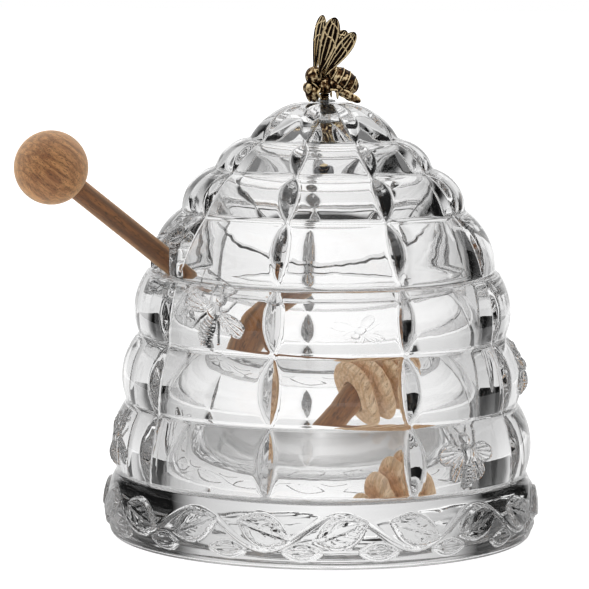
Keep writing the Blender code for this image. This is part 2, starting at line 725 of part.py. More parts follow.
def make_dipper_head():
    """Turned head: fins down the rod, fullest in the middle, and a socket for the rod."""
    top = HEAD_LENGTH
    points = [(0, top - ROD_SOCKET), (ROD_RADIUS + FIT_GAP, top - ROD_SOCKET)]
    points.append((ROD_RADIUS + FIT_GAP, top))
    for fin in range(FIN_COUNT):
        upper = top - fin * (FIN_THICKNESS + FIN_SPACE)
        lower = upper - FIN_THICKNESS
        place = 2 * fin / (FIN_COUNT - 1) - 1
        radius = HEAD_RADIUS * (1 - (1 - END_FIN_SHARE) * place * place)
        points.append((radius - FIN_ROUND, upper))
        points.append((radius, upper - FIN_ROUND))
        points.append((radius, lower + FIN_ROUND))
        points.append((radius - FIN_ROUND, lower))
        if fin < FIN_COUNT - 1:
            points.append((HEAD_CORE_RADIUS, lower))
            points.append((HEAD_CORE_RADIUS, lower - FIN_SPACE))
    points.append((END_FIN_RADIUS * NOSE_RADIUS_SHARE, -NOSE_LENGTH))
    points.append((0, -NOSE_LENGTH))
    return turned("dipper_head", points, 16)


def make_dipper():
    """Knob, rod and head on one axis, held by an empty that lies along the rod."""
    axis = bpy.data.objects.new("dipper_axis", None)
    bpy.data.collections[PARTS].objects.link(axis)
    axis.location = LAST_FIN_EDGE
    axis.rotation_euler = (0, SLOPE - math.pi / 2, 0)
    reach = (KNOB_CENTRE - LAST_FIN_EDGE).length
    head = make_dipper_head()
    rod_bottom = HEAD_LENGTH - ROD_SOCKET + FIT_GAP
    rod_top = reach - KNOB_RADIUS + ROD_SOCKET - FIT_GAP
    profile = [(0, rod_top), (ROD_RADIUS, rod_top), (ROD_RADIUS, rod_bottom), (0, rod_bottom)]
    rod = turned("dipper_rod", profile, 20)
    bm = bmesh.new()
    add_ellipsoid(bm, [2 * KNOB_RADIUS] * 3, Matrix.Translation((0, 0, reach)), 20, 12)
    knob = new_object("dipper_knob", mesh_from(bm, "dipper_knob"))
    socket_top = reach - KNOB_RADIUS + ROD_SOCKET
    socket_low = reach - KNOB_RADIUS - CUT_OVERRUN
    bore = ROD_RADIUS + FIT_GAP
    profile = [(0, socket_top), (bore, socket_top), (bore, socket_low), (0, socket_low)]
    socket = turned("knob_socket", profile, 20, CUTTERS)
    boolean(knob, socket)
    finish(head, "beech_head", (0.42, 0.25, 0.13), 0.55)
    finish(rod, "beech_dowel", (0.36, 0.19, 0.09), 0.5)
    finish(knob, "beech_ball", (0.50, 0.31, 0.17), 0.5)
    for piece in (head, rod, knob, socket):
        piece.parent = axis
        smooth(piece)


clear_scene()
make_jar()
make_lid()
make_fixing()
make_bee()
make_dipper()
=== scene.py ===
"""Looks for the crystal honey pot: jar, lid, bee finial and wooden dipper, on a white table."""
import math

import bmesh
import bpy
import numpy as np
from mathutils import Matrix, Vector


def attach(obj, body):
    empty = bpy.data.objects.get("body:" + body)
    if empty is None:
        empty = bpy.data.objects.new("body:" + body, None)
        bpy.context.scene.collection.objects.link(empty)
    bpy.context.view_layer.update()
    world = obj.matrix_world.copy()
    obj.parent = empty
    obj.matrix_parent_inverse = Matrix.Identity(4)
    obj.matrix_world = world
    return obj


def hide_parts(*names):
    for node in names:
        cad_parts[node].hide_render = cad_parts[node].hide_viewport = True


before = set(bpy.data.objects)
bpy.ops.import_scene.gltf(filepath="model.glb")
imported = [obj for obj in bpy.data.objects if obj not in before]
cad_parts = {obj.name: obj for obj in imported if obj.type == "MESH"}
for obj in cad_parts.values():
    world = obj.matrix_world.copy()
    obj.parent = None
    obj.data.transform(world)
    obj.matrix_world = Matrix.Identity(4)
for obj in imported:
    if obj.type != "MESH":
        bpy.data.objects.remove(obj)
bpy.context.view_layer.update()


# Jar of clear lead crystal: pressed in a mould, then cut and fire polished. A thick foot carries
# three tiers of nine pillow panels, each tier bulged between its rings, with V cuts from ring to
# ring. The well inside is smooth. Each ring has its radius and its height over the table.
MM = 0.001
PANELS = 9
PANEL_ANGLE = math.tau / PANELS
PANEL_COLUMNS = 45
VALLEY_CUT = 0.3 * MM
CUT_HALF_ANGLE = math.radians(42)
CUT_EDGE_ROUND = 0.4 * MM
VALLEY_LAND = 0.45 * MM

foot_radius = 62.4 * MM
foot_round = 2.4 * MM
jar_rings = [
    (51.6 * MM, 78.2 * MM),
    (54.3 * MM, 59.7 * MM),
    (57.9 * MM, 39.8 * MM),
    (60.6 * MM, 19.4 * MM),
]
jar_bulges = [2.4 * MM, 2.7 * MM, 2.5 * MM]
band_bulge = 1.8 * MM
mouth_radius = 47.0 * MM
rim_round = 1.2 * MM
floor_level = 12.0 * MM
well_radius = 46.5 * MM
well_corner = 8.0 * MM


def arc_between(top, bottom, bulge, steps, land_above=0.0, land_below=0.0):
    """Points from top to bottom, each with its height over the chord and the chord's normal."""
    chord = np.array(bottom) - np.array(top)
    along = chord / np.hypot(*chord)
    top = np.array(top) + along * land_above
    chord = np.array(bottom) - along * land_below - top
    length = np.hypot(*chord)
    outward = np.array((-chord[1], chord[0])) / length
    radius = (length * length / 4 + bulge * bulge) / (2 * bulge)
    sweep = math.asin(length / 2 / radius)
    rows = []
    for turn in np.linspace(-sweep, sweep, steps + 1):
        on_chord = top + chord * (radius * math.sin(turn) / length + 0.5)
        rows.append((on_chord, radius * math.cos(turn) - radius + bulge, outward))
    return rows


def corner_points(centre, radius, start, end, steps):
    """Points round a corner, between two angles in degrees."""
    turns = np.radians(np.linspace(start, end, steps + 1))
    return [(centre[0] + radius * math.cos(turn), centre[1] + radius * math.sin(turn)) for turn in turns]


def ring_angles(columns):
    """Even turns round the Z axis, one to a column."""
    return np.arange(columns) * math.tau / columns


def plain_ring(point, columns):
    """One ring of points round the Z axis."""
    angles = ring_angles(columns)
    height = np.full(columns, point[1])
    return np.stack([point[0] * np.cos(angles), point[0] * np.sin(angles), height], axis=1)


def soft_least(first, second, blend):
    """The lesser of two heights, with the crest between them rounded."""
    share = np.clip(0.5 + 0.5 * (second - first) / blend, 0, 1)
    return second * (1 - share) + first * share - blend * share * (1 - share)


def panel_ring(row, columns):
    """One ring of a tier: the bulge, with a V cut where two panels meet."""
    (radius, height), bulge, outward = row
    angles = ring_angles(columns)
    off_joint = (angles + PANEL_ANGLE / 2) % PANEL_ANGLE - PANEL_ANGLE / 2
    cut = np.abs(radius * np.sin(off_joint)) / math.tan(CUT_HALF_ANGLE) - VALLEY_CUT
    blend = min(CUT_EDGE_ROUND, 0.8 * (bulge + VALLEY_CUT))
    proud = soft_least(np.full(columns, bulge), cut, blend)
    out = radius + outward[0] * proud
    return np.stack([out * np.cos(angles), out * np.sin(angles), height + outward[1] * proud], axis=1)


def piece_from(name, bm):
    """A piece from a drawn mesh, with its faces turned outwards."""
    bmesh.ops.recalc_face_normals(bm, faces=bm.faces)
    mesh = bpy.data.meshes.new(name)
    bm.to_mesh(mesh)
    bm.free()
    made = bpy.data.objects.new(name, mesh)
    bpy.context.scene.collection.objects.link(made)
    return made


def skin(name, rings, closed=False):
    """A mesh over rings of points; a ring may hold a multiple of its neighbour's points."""
    verts = np.concatenate(rings)
    starts = np.cumsum([0] + [len(ring) for ring in rings])
    faces = []
    pairs = list(zip(range(len(rings)), range(1, len(rings))))
    if closed:
        pairs.append((len(rings) - 1, 0))
    for first, second in pairs:
        few, many = len(rings[first]), len(rings[second])
        if few == 1 or many == 1:
            hub, count = (starts[first], many) if few == 1 else (starts[second], few)
            rim = starts[second] if few == 1 else starts[first]
            for step in range(count):
                edge = (rim + step, rim + (step + 1) % count)
                faces.append((hub, *edge) if few == 1 else (hub, *reversed(edge)))
            continue
        count = min(few, many)
        near_side, far_side = few // count, many // count
        for step in range(count):
            near = [starts[first] + (step * near_side + k) % few for k in range(near_side + 1)]
            far = [starts[second] + (step * far_side + k) % many for k in range(far_side + 1)]
            faces.append((*near, *reversed(far)))
    drawn = bpy.data.meshes.new(name)
    drawn.from_pydata([tuple(vert) for vert in verts], [], faces)
    bm = bmesh.new()
    bm.from_mesh(drawn)
    bpy.data.meshes.remove(drawn)
    return piece_from(name, bm)


def polish(made, crease=40):
    """Smooth shading that keeps every edge sharper than the crease, in degrees."""
    made.data.shade_smooth()
    made.data.set_sharp_from_angle(angle=math.radians(crease))


tier_rows = []
for top, bottom, bulge in zip(jar_rings, jar_rings[1:], jar_bulges):
    land = 0 if top == jar_rings[0] else VALLEY_LAND
    tier_rows += arc_between(top, bottom, bulge, 24, land, VALLEY_LAND)
band_rows = arc_between(jar_rings[-1], (foot_radius, foot_round), band_bulge, 42, VALLEY_LAND)
wall_columns = PANELS * PANEL_COLUMNS
inner_columns = wall_columns // 3
foot_points = corner_points((foot_radius - foot_round, foot_round), foot_round, 0, -90, 5)[1:]
rim_out = corner_points((jar_rings[0][0] - rim_round, jar_rings[0][1] - rim_round), rim_round, 30, 90, 4)
rim_in = corner_points((mouth_radius + rim_round, jar_rings[0][1] - rim_round), rim_round, 90, 180, 5)
well_centre = (well_radius - well_corner, floor_level + well_corner)
well_foot = corner_points(well_centre, well_corner, 0, -90, 10)


def on_wall(height):
    """Radius of the outside of the jar at a height, before its panels are cut."""
    rows = tier_rows + band_rows
    levels = np.array([row[0][1] + row[2][1] * row[1] for row in rows])[::-1]
    radii = np.array([row[0][0] + row[2][0] * row[1] for row in rows])[::-1]
    return np.interp(height, levels, radii)


# Leaf scroll on the foot band, pressed with the jar: a stem that waves round the foot, over one
# leaf and under the next, with a raised edge, a mid vein and side veins on each leaf, and a bud
# in each bay below.
leaf_length = 15.8 * MM
leaf_width = 8.6 * MM
leaf_tilt = math.radians(20)
leaf_level = 11.2 * MM
leaf_relief = 0.95 * MM
bud_length = 11.0 * MM
bud_width = 4.6 * MM
bud_level = 5.4 * MM
bud_relief = 0.6 * MM
band_radius = 62 * MM
stem_wave = 5.0 * MM
stem_level = 11.0 * MM
stem_width = 0.36 * MM
stem_relief = 0.28 * MM


def rise(value, start, end):
    """A smooth step from 0 to 1 while a value runs from start to end."""
    share = np.clip((value - start) / (end - start), 0, 1)
    return share * share * (3 - 2 * share)


def ridge(off, width):
    """A round crest, one high, at places off its middle line."""
    return np.exp(-((off / width) ** 2))


def leaf_relief_at(along, across, length, width, height):
    """Height of one veined leaf at places along and across it."""
    half = width / 2 * np.clip(1 - (2 * along / length) ** 2, -1, 1)
    inside = half - np.abs(across)
    body = height * rise(inside, -0.2 * MM, 0.5 * MM)
    edge = 0.14 * MM * ridge(inside - 0.7 * MM, 0.3 * MM)
    dish = -0.15 * MM * rise(inside, 1.0 * MM, 3.2 * MM)
    vein = 0.16 * MM * ridge(across - 0.04 * along, 0.3 * MM) * rise(inside, 0.6 * MM, 1.4 * MM)
    comb = (along - np.abs(across) * 1.5) / (3.4 * MM)
    side = 0.025 * MM * np.cos(math.tau * comb) * rise(inside, 1.1 * MM, 1.9 * MM)
    return body + edge + dish + vein + side


def scroll_relief(angles, height):
    """Height of the leaf scroll round the band at one level."""
    proud = np.zeros(len(angles))
    for leaf in range(2 * PANELS):
        centre = (leaf - PANELS) * PANEL_ANGLE / 2
        tilt = -leaf_tilt if leaf % 2 == PANELS % 2 else leaf_tilt
        around = (angles - centre + math.pi) % math.tau - math.pi
        flat = around * band_radius
        up = height - leaf_level
        along = flat * math.cos(tilt) + up * math.sin(tilt)
        across = -flat * math.sin(tilt) + up * math.cos(tilt)
        near = np.abs(flat) < leaf_length
        one = leaf_relief_at(along, across, leaf_length, leaf_width, leaf_relief)
        proud = np.where(near, np.maximum(proud, one), proud)
        around = (angles - centre - PANEL_ANGLE / 4 + math.pi) % math.tau - math.pi
        flat = around * band_radius
        near = np.abs(flat) < bud_length
        one = leaf_relief_at(flat, height - bud_level + 0 * flat, bud_length, bud_width, bud_relief)
        proud = np.where(near, np.maximum(proud, one), proud)
    wave = stem_level - stem_wave * np.cos(PANELS * angles)
    slope = stem_wave * PANELS / band_radius * np.sin(PANELS * angles)
    off = (height - wave) / np.sqrt(1 + slope * slope)
    return np.maximum(proud, stem_relief * ridge(off, stem_width))


def band_ring(row, columns):
    """One ring of the foot band, with the leaf scroll standing on it."""
    (radius, height), bulge, outward = row
    angles = ring_angles(columns)
    level = height + outward[1] * bulge
    proud = bulge + scroll_relief(angles, level)
    out = radius + outward[0] * proud
    return np.stack([out * np.cos(angles), out * np.sin(angles), height + outward[1] * proud], axis=1)


rings = [np.array([[0, 0, floor_level]])]
rings += [plain_ring((radius, floor_level), inner_columns) for radius in (12 * MM, 26 * MM)]
rings += [plain_ring(point, inner_columns) for point in reversed(well_foot)]
well_levels = np.linspace(floor_level + well_corner, jar_rings[0][1] - rim_round, 14)[1:-1]
well_radii = np.linspace(well_radius, mouth_radius, 14)[1:-1]
rings += [plain_ring(point, inner_columns) for point in zip(well_radii, well_levels)]
rings += [plain_ring(point, inner_columns) for point in reversed(rim_in)]
rings += [plain_ring(point, wall_columns) for point in reversed(rim_out)]
rings += [panel_ring(row, wall_columns) for row in tier_rows[1:]]
rings += [band_ring(row, 2 * wall_columns) for row in band_rows]
rings += [plain_ring(point, wall_columns) for point in foot_points]
rings += [plain_ring((radius, 0), inner_columns) for radius in (50 * MM, 25 * MM)]
rings.append(np.array([[0, 0, 0]]))
jar = skin("crystal_jar", rings)


# Bees in relief, pressed with the jar, one to a panel: ribbed abdomen, round thorax and head, six
# thin legs, two feelers, and broad wings with a raised rim and a fan of veins. All measures here are
# in millimetres on the bee, from its middle, and in degrees.
bee_places = [  # height, turn round the jar, heading, wing turns, wing length and width, boldness
    (69.3, 220, 66, (100,), 10.6, 5.6, 1.0),
    (29.6, 297, 90, (98, 155), 9.4, 6.2, 1.1),
    (49.8, 340, 120, (100,), 10.4, 5.6, 1.0),
    (49.8, 60, 59, (82,), 10.6, 5.6, 0.45),
    (49.8, 140, 120, (100,), 10.4, 5.6, 1.0),
    (29.6, 180, 60, (100,), 10.4, 5.6, 1.0),
]
bee_legs = [  # knee and foot
    ((4.6, 3.6), (7.6, 4.6)),
    ((1.0, 4.0), (-0.6, 6.4)),
    ((-1.6, 3.6), (-5.2, 4.8)),
]
bee_grid = 0.25
bee_root = 1.4 * MM


def dome(along, across, half_length, half_width, height):
    """Height of half an ellipsoid that lies on the wall."""
    return height * np.sqrt(np.clip(1 - (along / half_length) ** 2 - (across / half_width) ** 2, 0, 1))


def thread(along, across, start, end, width, height):
    """Height of a thin round limb between two places."""
    run = (end[0] - start[0], end[1] - start[1])
    share = ((along - start[0]) * run[0] + (across - start[1]) * run[1]) / (run[0] ** 2 + run[1] ** 2)
    share = np.clip(share, 0, 1)
    off = np.hypot(along - start[0] - share * run[0], across - start[1] - share * run[1])
    return height * ridge(off, width)


def bee_relief(along, across, wing_turns, wing_length, wing_width):
    """Height of a bee at places along it, its head forward, and across it, all in millimetres."""
    belly = dome(along + 4.0, across, 4.9, 2.7, 2.0)
    belly -= 0.22 * (belly > 0.3) * (1 + np.cos(math.tau * along / 1.05))
    proud = np.maximum(belly, dome(along - 2.2, across, 2.7, 2.5, 2.1))
    proud = np.maximum(proud, dome(along - 5.9, across, 1.7, 2.0, 1.6))
    for side in (-1, 1):
        from_root = (along - 2.4, across - side * 1.2)
        for wing_turn in wing_turns:
            turn = side * math.radians(wing_turn)
            out = from_root[0] * math.cos(turn) + from_root[1] * math.sin(turn)
            off = side * (from_root[1] * math.cos(turn) - from_root[0] * math.sin(turn))
            share = np.clip(out / wing_length, 0, 1)
            inside = wing_width / 2 * share ** 0.8 * (1 - share) ** 0.5 / 0.438 - np.abs(off)
            wing = 0.85 * rise(inside, -0.1, 0.3) - 0.4 * rise(inside, 0.45, 0.8)
            for spread in (-0.2, 0.0, 0.2):
                wing += 0.3 * ridge(off - spread * out, 0.26) * rise(inside, 0.3, 0.7)
            proud = np.maximum(proud, wing)
        for knee, foot in bee_legs:
            hip = (2.2, side * 1.6)
            knee = (knee[0], side * knee[1])
            foot = (foot[0], side * foot[1])
            proud = np.maximum(proud, thread(along, across, hip, knee, 0.45, 0.9))
            proud = np.maximum(proud, thread(along, across, knee, foot, 0.38, 0.8))
        feeler = thread(along, across, (7.0, side * 0.7), (9.2, side * 2.4), 0.32, 0.7)
        proud = np.maximum(proud, feeler)
    return proud


bm = bmesh.new()
steps_along = np.arange(-9.5, 10.1, bee_grid)
steps_across = np.arange(-11, 11.1, bee_grid)
drawn_along, drawn_across = np.meshgrid(steps_along, steps_across, indexing="ij")
for level, panel_turn, heading, wing_turns, wing_length, wing_width, boldness in bee_places:
    proud = boldness * bee_relief(drawn_along, drawn_across, wing_turns, wing_length, wing_width) - 0.25
    heading = math.radians(heading)
    side = (drawn_along * math.cos(heading) - drawn_across * math.sin(heading)) * MM
    up = (drawn_along * math.sin(heading) + drawn_across * math.cos(heading) + level) * MM
    wall = on_wall(up)
    angles = math.radians(panel_turn) + side / on_wall(level * MM)
    layers = []
    for out in (wall + proud * MM, wall - bee_root):
        points = np.stack([out * np.cos(angles), out * np.sin(angles), up], axis=-1)
        layers.append([[bm.verts.new(point) for point in row] for row in points])
    top, bottom = layers
    last_row, last_step = len(top) - 1, len(top[0]) - 1
    for row in range(last_row):
        for step in range(last_step):
            for layer, way in ((top, 1), (bottom, -1)):
                near, far = layer[row], layer[row + 1]
                corners = [near[step], far[step], far[step + 1], near[step + 1]]
                bm.faces.new(corners[::way])
    border = [(row, 0) for row in range(last_row)]
    border += [(last_row, step) for step in range(last_step)]
    border += [(row, last_step) for row in range(last_row, 0, -1)]
    border += [(0, step) for step in range(last_step, 0, -1)]
    for (row, step), (next_row, next_step) in zip(border, border[1:] + border[:1]):
        here = [top[row][step], bottom[row][step]]
        after = [bottom[next_row][next_step], top[next_row][next_step]]
        bm.faces.new(here + after)
pressed_bees = piece_from("pressed_bees", bm)


def combine(made, tool, operation):
    """Cuts the tool from a piece, or joins it on, and throws the tool away."""
    cut = made.modifiers.new("combine", "BOOLEAN")
    cut.operation = operation
    cut.object = tool
    cut.solver = "MANIFOLD"
    graph = bpy.context.evaluated_depsgraph_get()
    result = bpy.data.meshes.new_from_object(made.evaluated_get(graph))
    made.modifiers.clear()
    made.data = result
    made.data.materials.clear()
    bpy.data.objects.remove(tool)


combine(jar, pressed_bees, "UNION")


def linear(code):
    """An sRGB hex code as the linear colour that a shader takes."""
    parts = [int(code[start:start + 2], 16) / 255 for start in (1, 3, 5)]
    return [part / 12.92 if part <= 0.04045 else ((part + 0.055) / 1.055) ** 2.4 for part in parts] + [1]


def node(tree, kind, links=None, inputs=None, **settings):
    """Adds a node with its settings, its plain input values and the sockets that feed it."""
    made = tree.nodes.new(kind)
    for setting, value in settings.items():
        setattr(made, setting, value)
    for socket, value in (inputs or {}).items():
        made.inputs[socket].default_value = value
    for socket, source in (links or {}).items():
        tree.links.new(source, made.inputs[socket])
    return made


def new_material(name):
    """A material with its node tree and its main shader."""
    material = bpy.data.materials.new(name)
    material.use_nodes = True
    return material, material.node_tree, material.node_tree.nodes["Principled BSDF"]


# Lead crystal, fire polished after it was pressed: clear as water and very bright, because it bends
# light more than window glass. The skin keeps a slow ripple from the mould, a few hundredths of a
# millimetre deep and some 7 mm across, which makes the lines behind it waver.
crystal, tree, shader = new_material("fire_polished_lead_crystal")
shader.inputs["Base Color"].default_value = linear("#fdfdfd")
shader.inputs["Transmission Weight"].default_value = 1
shader.inputs["IOR"].default_value = 1.545
shader.inputs["Roughness"].default_value = 0.0
place = node(tree, "ShaderNodeTexCoord").outputs["Object"]
ripple = node(tree, "ShaderNodeTexNoise", {"Vector": place}, {"Scale": 1 / (7 * MM), "Detail": 1.0})
depth = {"Strength": 0.25, "Distance": 0.15 * MM}
bump = node(tree, "ShaderNodeBump", {"Height": ripple.outputs["Fac"]}, depth)
tree.links.new(bump.outputs["Normal"], shader.inputs["Normal"])

polish(jar)
jar.data.materials.append(crystal)
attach(jar, "jar")
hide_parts("jar")


# Lid of the same crystal: four tiers that close in to a small flat seat, drilled for the finial.
# A flange inside the rim centres it, and an arched doorway in the skirt lets the dipper out.
lid_rings = [
    (6.5 * MM, 127.6 * MM),
    (22.0 * MM, 117.2 * MM),
    (32.2 * MM, 108.6 * MM),
    (41.9 * MM, 96.3 * MM),
    (50.7 * MM, 80.3 * MM),
]
lid_bulges = [2.3 * MM, 1.9 * MM, 2.5 * MM, 2.1 * MM]
lid_row_step = 0.85 * MM
lid_foot_level = 78.25 * MM
lid_foot_round = 0.9 * MM
lid_wall = 4.5 * MM
flange_outer = 46.4 * MM
flange_inner = 43.4 * MM
flange_level = 72.7 * MM
flange_round = 0.5 * MM
ceiling = (7.8 * MM, 120.2 * MM)
ceiling_bulge = 0.7 * MM
seat_ring = 4.5 * MM
bore_radius = 1.7 * MM
doorway_radius = 12.2 * MM

rings = [plain_ring((bore_radius, lid_rings[0][1]), inner_columns)]
rings.append(plain_ring((seat_ring, lid_rings[0][1]), wall_columns))
lid_rows = []
for top, bottom, bulge in zip(lid_rings, lid_rings[1:], lid_bulges):
    steps = max(14, round(math.dist(top, bottom) / lid_row_step))
    land_above = 0 if top == lid_rings[0] else VALLEY_LAND
    land_below = 0 if bottom == lid_rings[-1] else VALLEY_LAND
    lid_rows += arc_between(top, bottom, bulge, steps, land_above, land_below)
rings += [panel_ring(row, wall_columns) for row in lid_rows]
foot_centre = (49.8 * MM, lid_foot_level + lid_foot_round)
foot_corner = corner_points(foot_centre, lid_foot_round, 0, -90, 4)
rings += [plain_ring(point, wall_columns) for point in foot_corner]
flange = [
    (flange_outer, lid_foot_level),
    (flange_outer, flange_level + flange_round),
    (flange_outer - flange_round, flange_level),
    (flange_inner + flange_round, flange_level),
    (flange_inner, flange_level + flange_round),
]
rings += [plain_ring(point, inner_columns) for point in flange]
inner_nodes = [(flange_inner, lid_rings[-1][1])]
for above, here, below in reversed(list(zip(lid_rings, lid_rings[1:], lid_rings[2:]))):
    run = np.array(below) - np.array(above)
    normal = np.array((-run[1], run[0])) / np.hypot(*run)
    inner_nodes.append(tuple(np.array(here) - lid_wall * normal))
inner_nodes.append(ceiling)
for lower, upper in zip(inner_nodes, inner_nodes[1:]):
    rows = arc_between(upper, lower, ceiling_bulge, 6)
    points = [on_chord + outward * bulge for on_chord, bulge, outward in reversed(rows)]
    rings += [plain_ring(point, inner_columns) for point in points[:-1]]
rings.append(plain_ring(ceiling, inner_columns))
rings.append(plain_ring((bore_radius, ceiling[1]), inner_columns))
lid = skin("crystal_lid", rings, closed=True)


def drawn_outline(name, outline, start, end):
    """A closed outline in Y and Z, drawn out along X."""
    bm = bmesh.new()
    face = bm.faces.new([bm.verts.new((start, side, height)) for side, height in outline])
    drawn = bmesh.ops.extrude_face_region(bm, geom=[face])
    moved = [item for item in drawn["geom"] if isinstance(item, bmesh.types.BMVert)]
    bmesh.ops.translate(bm, verts=moved, vec=(end - start, 0, 0))
    return piece_from(name, bm)


arch = corner_points((0, lid_foot_level), doorway_radius, 180, 0, 48)
doorway = [(-doorway_radius, flange_level - MM), *arch, (doorway_radius, flange_level - MM)]
combine(lid, drawn_outline("doorway", doorway, -56 * MM, -20 * MM), "DIFFERENCE")
polish(lid)
lid.data.materials.append(crystal)
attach(lid, "lid")
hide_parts("lid")


# Fixing of the finial: a threaded stud of the finial's brass goes down through the lid. A clear seat
# washer lies above the glass, and a rubber cushion and a plated steel nut hold it under the ceiling.
lid_top = lid_rings[0][1]
fit = 0.3 * MM
seat_radius = 3.2 * MM
seat_thickness = 0.5 * MM
cushion_radius = 4.8 * MM
cushion_thickness = 1.0 * MM
cushion_top = ceiling[1] - fit
nut_radius = 3.2 * MM
nut_chamfer_radius = 2.8 * MM
nut_chamfer = 0.3 * MM
nut_height = 2.4 * MM
nut_top = cushion_top - cushion_thickness - fit
stud_radius = 1.4 * MM
stud_pitch = 0.6 * MM
stud_top = 132.0 * MM
stud_bottom = nut_top - 3.4 * MM


def washer(name, inner, outer, top, thickness, columns=96):
    """A flat ring with softened edges."""
    soft = 0.2 * thickness
    low = top - thickness
    section = [(inner, top), (outer - soft, top), (outer, top - soft)]
    section += [(outer, low + soft), (outer - soft, low), (inner, low)]
    return skin(name, [plain_ring(point, columns) for point in section], closed=True)


# Clear soft vinyl, punched from sheet: see-through but not bright, with a fine haze on its faces.
seat_level = lid_top + fit + seat_thickness
seat = washer("seat_washer_ring", bore_radius, seat_radius, seat_level, seat_thickness)
plastic, tree, shader = new_material("punched_clear_vinyl")
shader.inputs["Base Color"].default_value = linear("#e4e6e6")
shader.inputs["Transmission Weight"].default_value = 0.9
shader.inputs["IOR"].default_value = 1.46
place = node(tree, "ShaderNodeTexCoord").outputs["Object"]
haze = node(tree, "ShaderNodeTexNoise", {"Vector": place}, {"Scale": 1 / (0.4 * MM), "Detail": 3.0})
matt = node(tree, "ShaderNodeMapRange", {"Value": haze.outputs["Fac"]}, {"To Min": 0.15, "To Max": 0.4})
tree.links.new(matt.outputs[0], shader.inputs["Roughness"])
polish(seat)
seat.data.materials.append(plastic)
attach(seat, "lid")
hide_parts("seat_washer")

# Black rubber, moulded: a dull charcoal with no gloss, a little paler where dust clings to it. The
# nut presses the cushion up against the glass, so its top is drawn a hair inside the ceiling.
pressed_up = fit + 0.02 * MM
squeezed = cushion_thickness + pressed_up
cushion = washer("cushion_washer_ring", bore_radius, cushion_radius, cushion_top + pressed_up, squeezed)
rubber, tree, shader = new_material("moulded_black_rubber")
place = node(tree, "ShaderNodeTexCoord").outputs["Object"]
dust = node(tree, "ShaderNodeTexNoise", {"Vector": place}, {"Scale": 1 / (0.25 * MM), "Detail": 4.0})
colours = {6: linear("#17181a"), 7: linear("#2b2c2e")}
tone = node(tree, "ShaderNodeMix", {"Factor": dust.outputs["Fac"]}, colours, data_type="RGBA")
tree.links.new(tone.outputs[2], shader.inputs["Base Color"])
shader.inputs["Roughness"].default_value = 0.7
polish(cushion)
cushion.data.materials.append(rubber)
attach(cushion, "lid")
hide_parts("cushion_washer")


def hexagon_ring(limit, height, columns=96):
    """One ring of the nut: a hexagon, with its corners turned off beyond a limit."""
    angles = ring_angles(columns)
    flat = nut_radius * math.cos(math.radians(30))
    out = np.minimum(flat / np.cos((angles + math.pi / 6) % (math.pi / 3) - math.pi / 6), limit)
    return np.stack([out * np.cos(angles), out * np.sin(angles), np.full(columns, height)], axis=1)


nut_low = nut_top - nut_height
rings = [plain_ring((bore_radius, nut_top), 96), hexagon_ring(nut_chamfer_radius, nut_top)]
rings.append(hexagon_ring(nut_radius, nut_top - nut_chamfer))
rings.append(hexagon_ring(nut_radius, nut_low + nut_chamfer))
rings += [hexagon_ring(nut_chamfer_radius, nut_low), plain_ring((bore_radius, nut_low), 96)]
nut = skin("hexagon_nut", rings, closed=True)

# Steel, turned and plated dark grey: a dim shine, broken by the fine turning marks round its axis.
steel, tree, shader = new_material("dark_plated_turned_steel")
shader.inputs["Base Color"].default_value = linear("#595b5e")
shader.inputs["Metallic"].default_value = 1
place = node(tree, "ShaderNodeTexCoord").outputs["Object"]
grain = node(tree, "ShaderNodeMapping", {"Vector": place}, {"Scale": (1 / MM, 1 / MM, 9 / MM)})
grain = node(tree, "ShaderNodeTexNoise", {"Vector": grain.outputs[0]}, {"Scale": 1.0, "Detail": 3.0})
matt = node(tree, "ShaderNodeMapRange", {"Value": grain.outputs["Fac"]}, {"To Min": 0.2, "To Max": 0.4})
tree.links.new(matt.outputs[0], shader.inputs["Roughness"])
polish(nut, 25)
nut.data.materials.append(steel)
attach(nut, "lid")
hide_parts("nut")

rings = [np.array([[0, 0, stud_top]])]
for height in np.arange(stud_top, stud_bottom, -stud_pitch):
    crest = min(stud_radius, 0.6 * MM + (height - stud_bottom))
    rings += [plain_ring((0.8 * crest, height), 48), plain_ring((crest, height - 0.2 * MM), 48)]
    rings.append(plain_ring((crest, height - 0.35 * MM), 48))
rings.append(np.array([[0, 0, stud_bottom - 0.35 * MM]]))
stud = skin("threaded_stud", rings)


def mark_wear(made, rounds, full, middle=0.5):
    """Notes at each point how far it stands proud of the shape around it, from 0 to 1."""
    mesh = made.data
    count = len(mesh.vertices)
    places = np.empty(count * 3)
    normals = np.empty(count * 3)
    edges = np.empty(len(mesh.edges) * 2, dtype=np.int32)
    mesh.vertices.foreach_get("co", places)
    mesh.vertices.foreach_get("normal", normals)
    mesh.edges.foreach_get("vertices", edges)
    places = places.reshape(-1, 3)
    first, second = edges.reshape(-1, 2).T
    neighbours = np.bincount(edges, minlength=count)
    around = places
    for _ in range(rounds):
        total = np.zeros_like(around)
        for axis in range(3):
            total[:, axis] = np.bincount(first, around[second, axis], count)
            total[:, axis] += np.bincount(second, around[first, axis], count)
        around = total / neighbours[:, None]
    proud = ((places - around) * normals.reshape(-1, 3)).sum(axis=1)
    worn = mesh.attributes.new("worn", "FLOAT", "POINT")
    worn.data.foreach_set("value", np.clip(middle + 0.5 * proud / full, 0, 1))


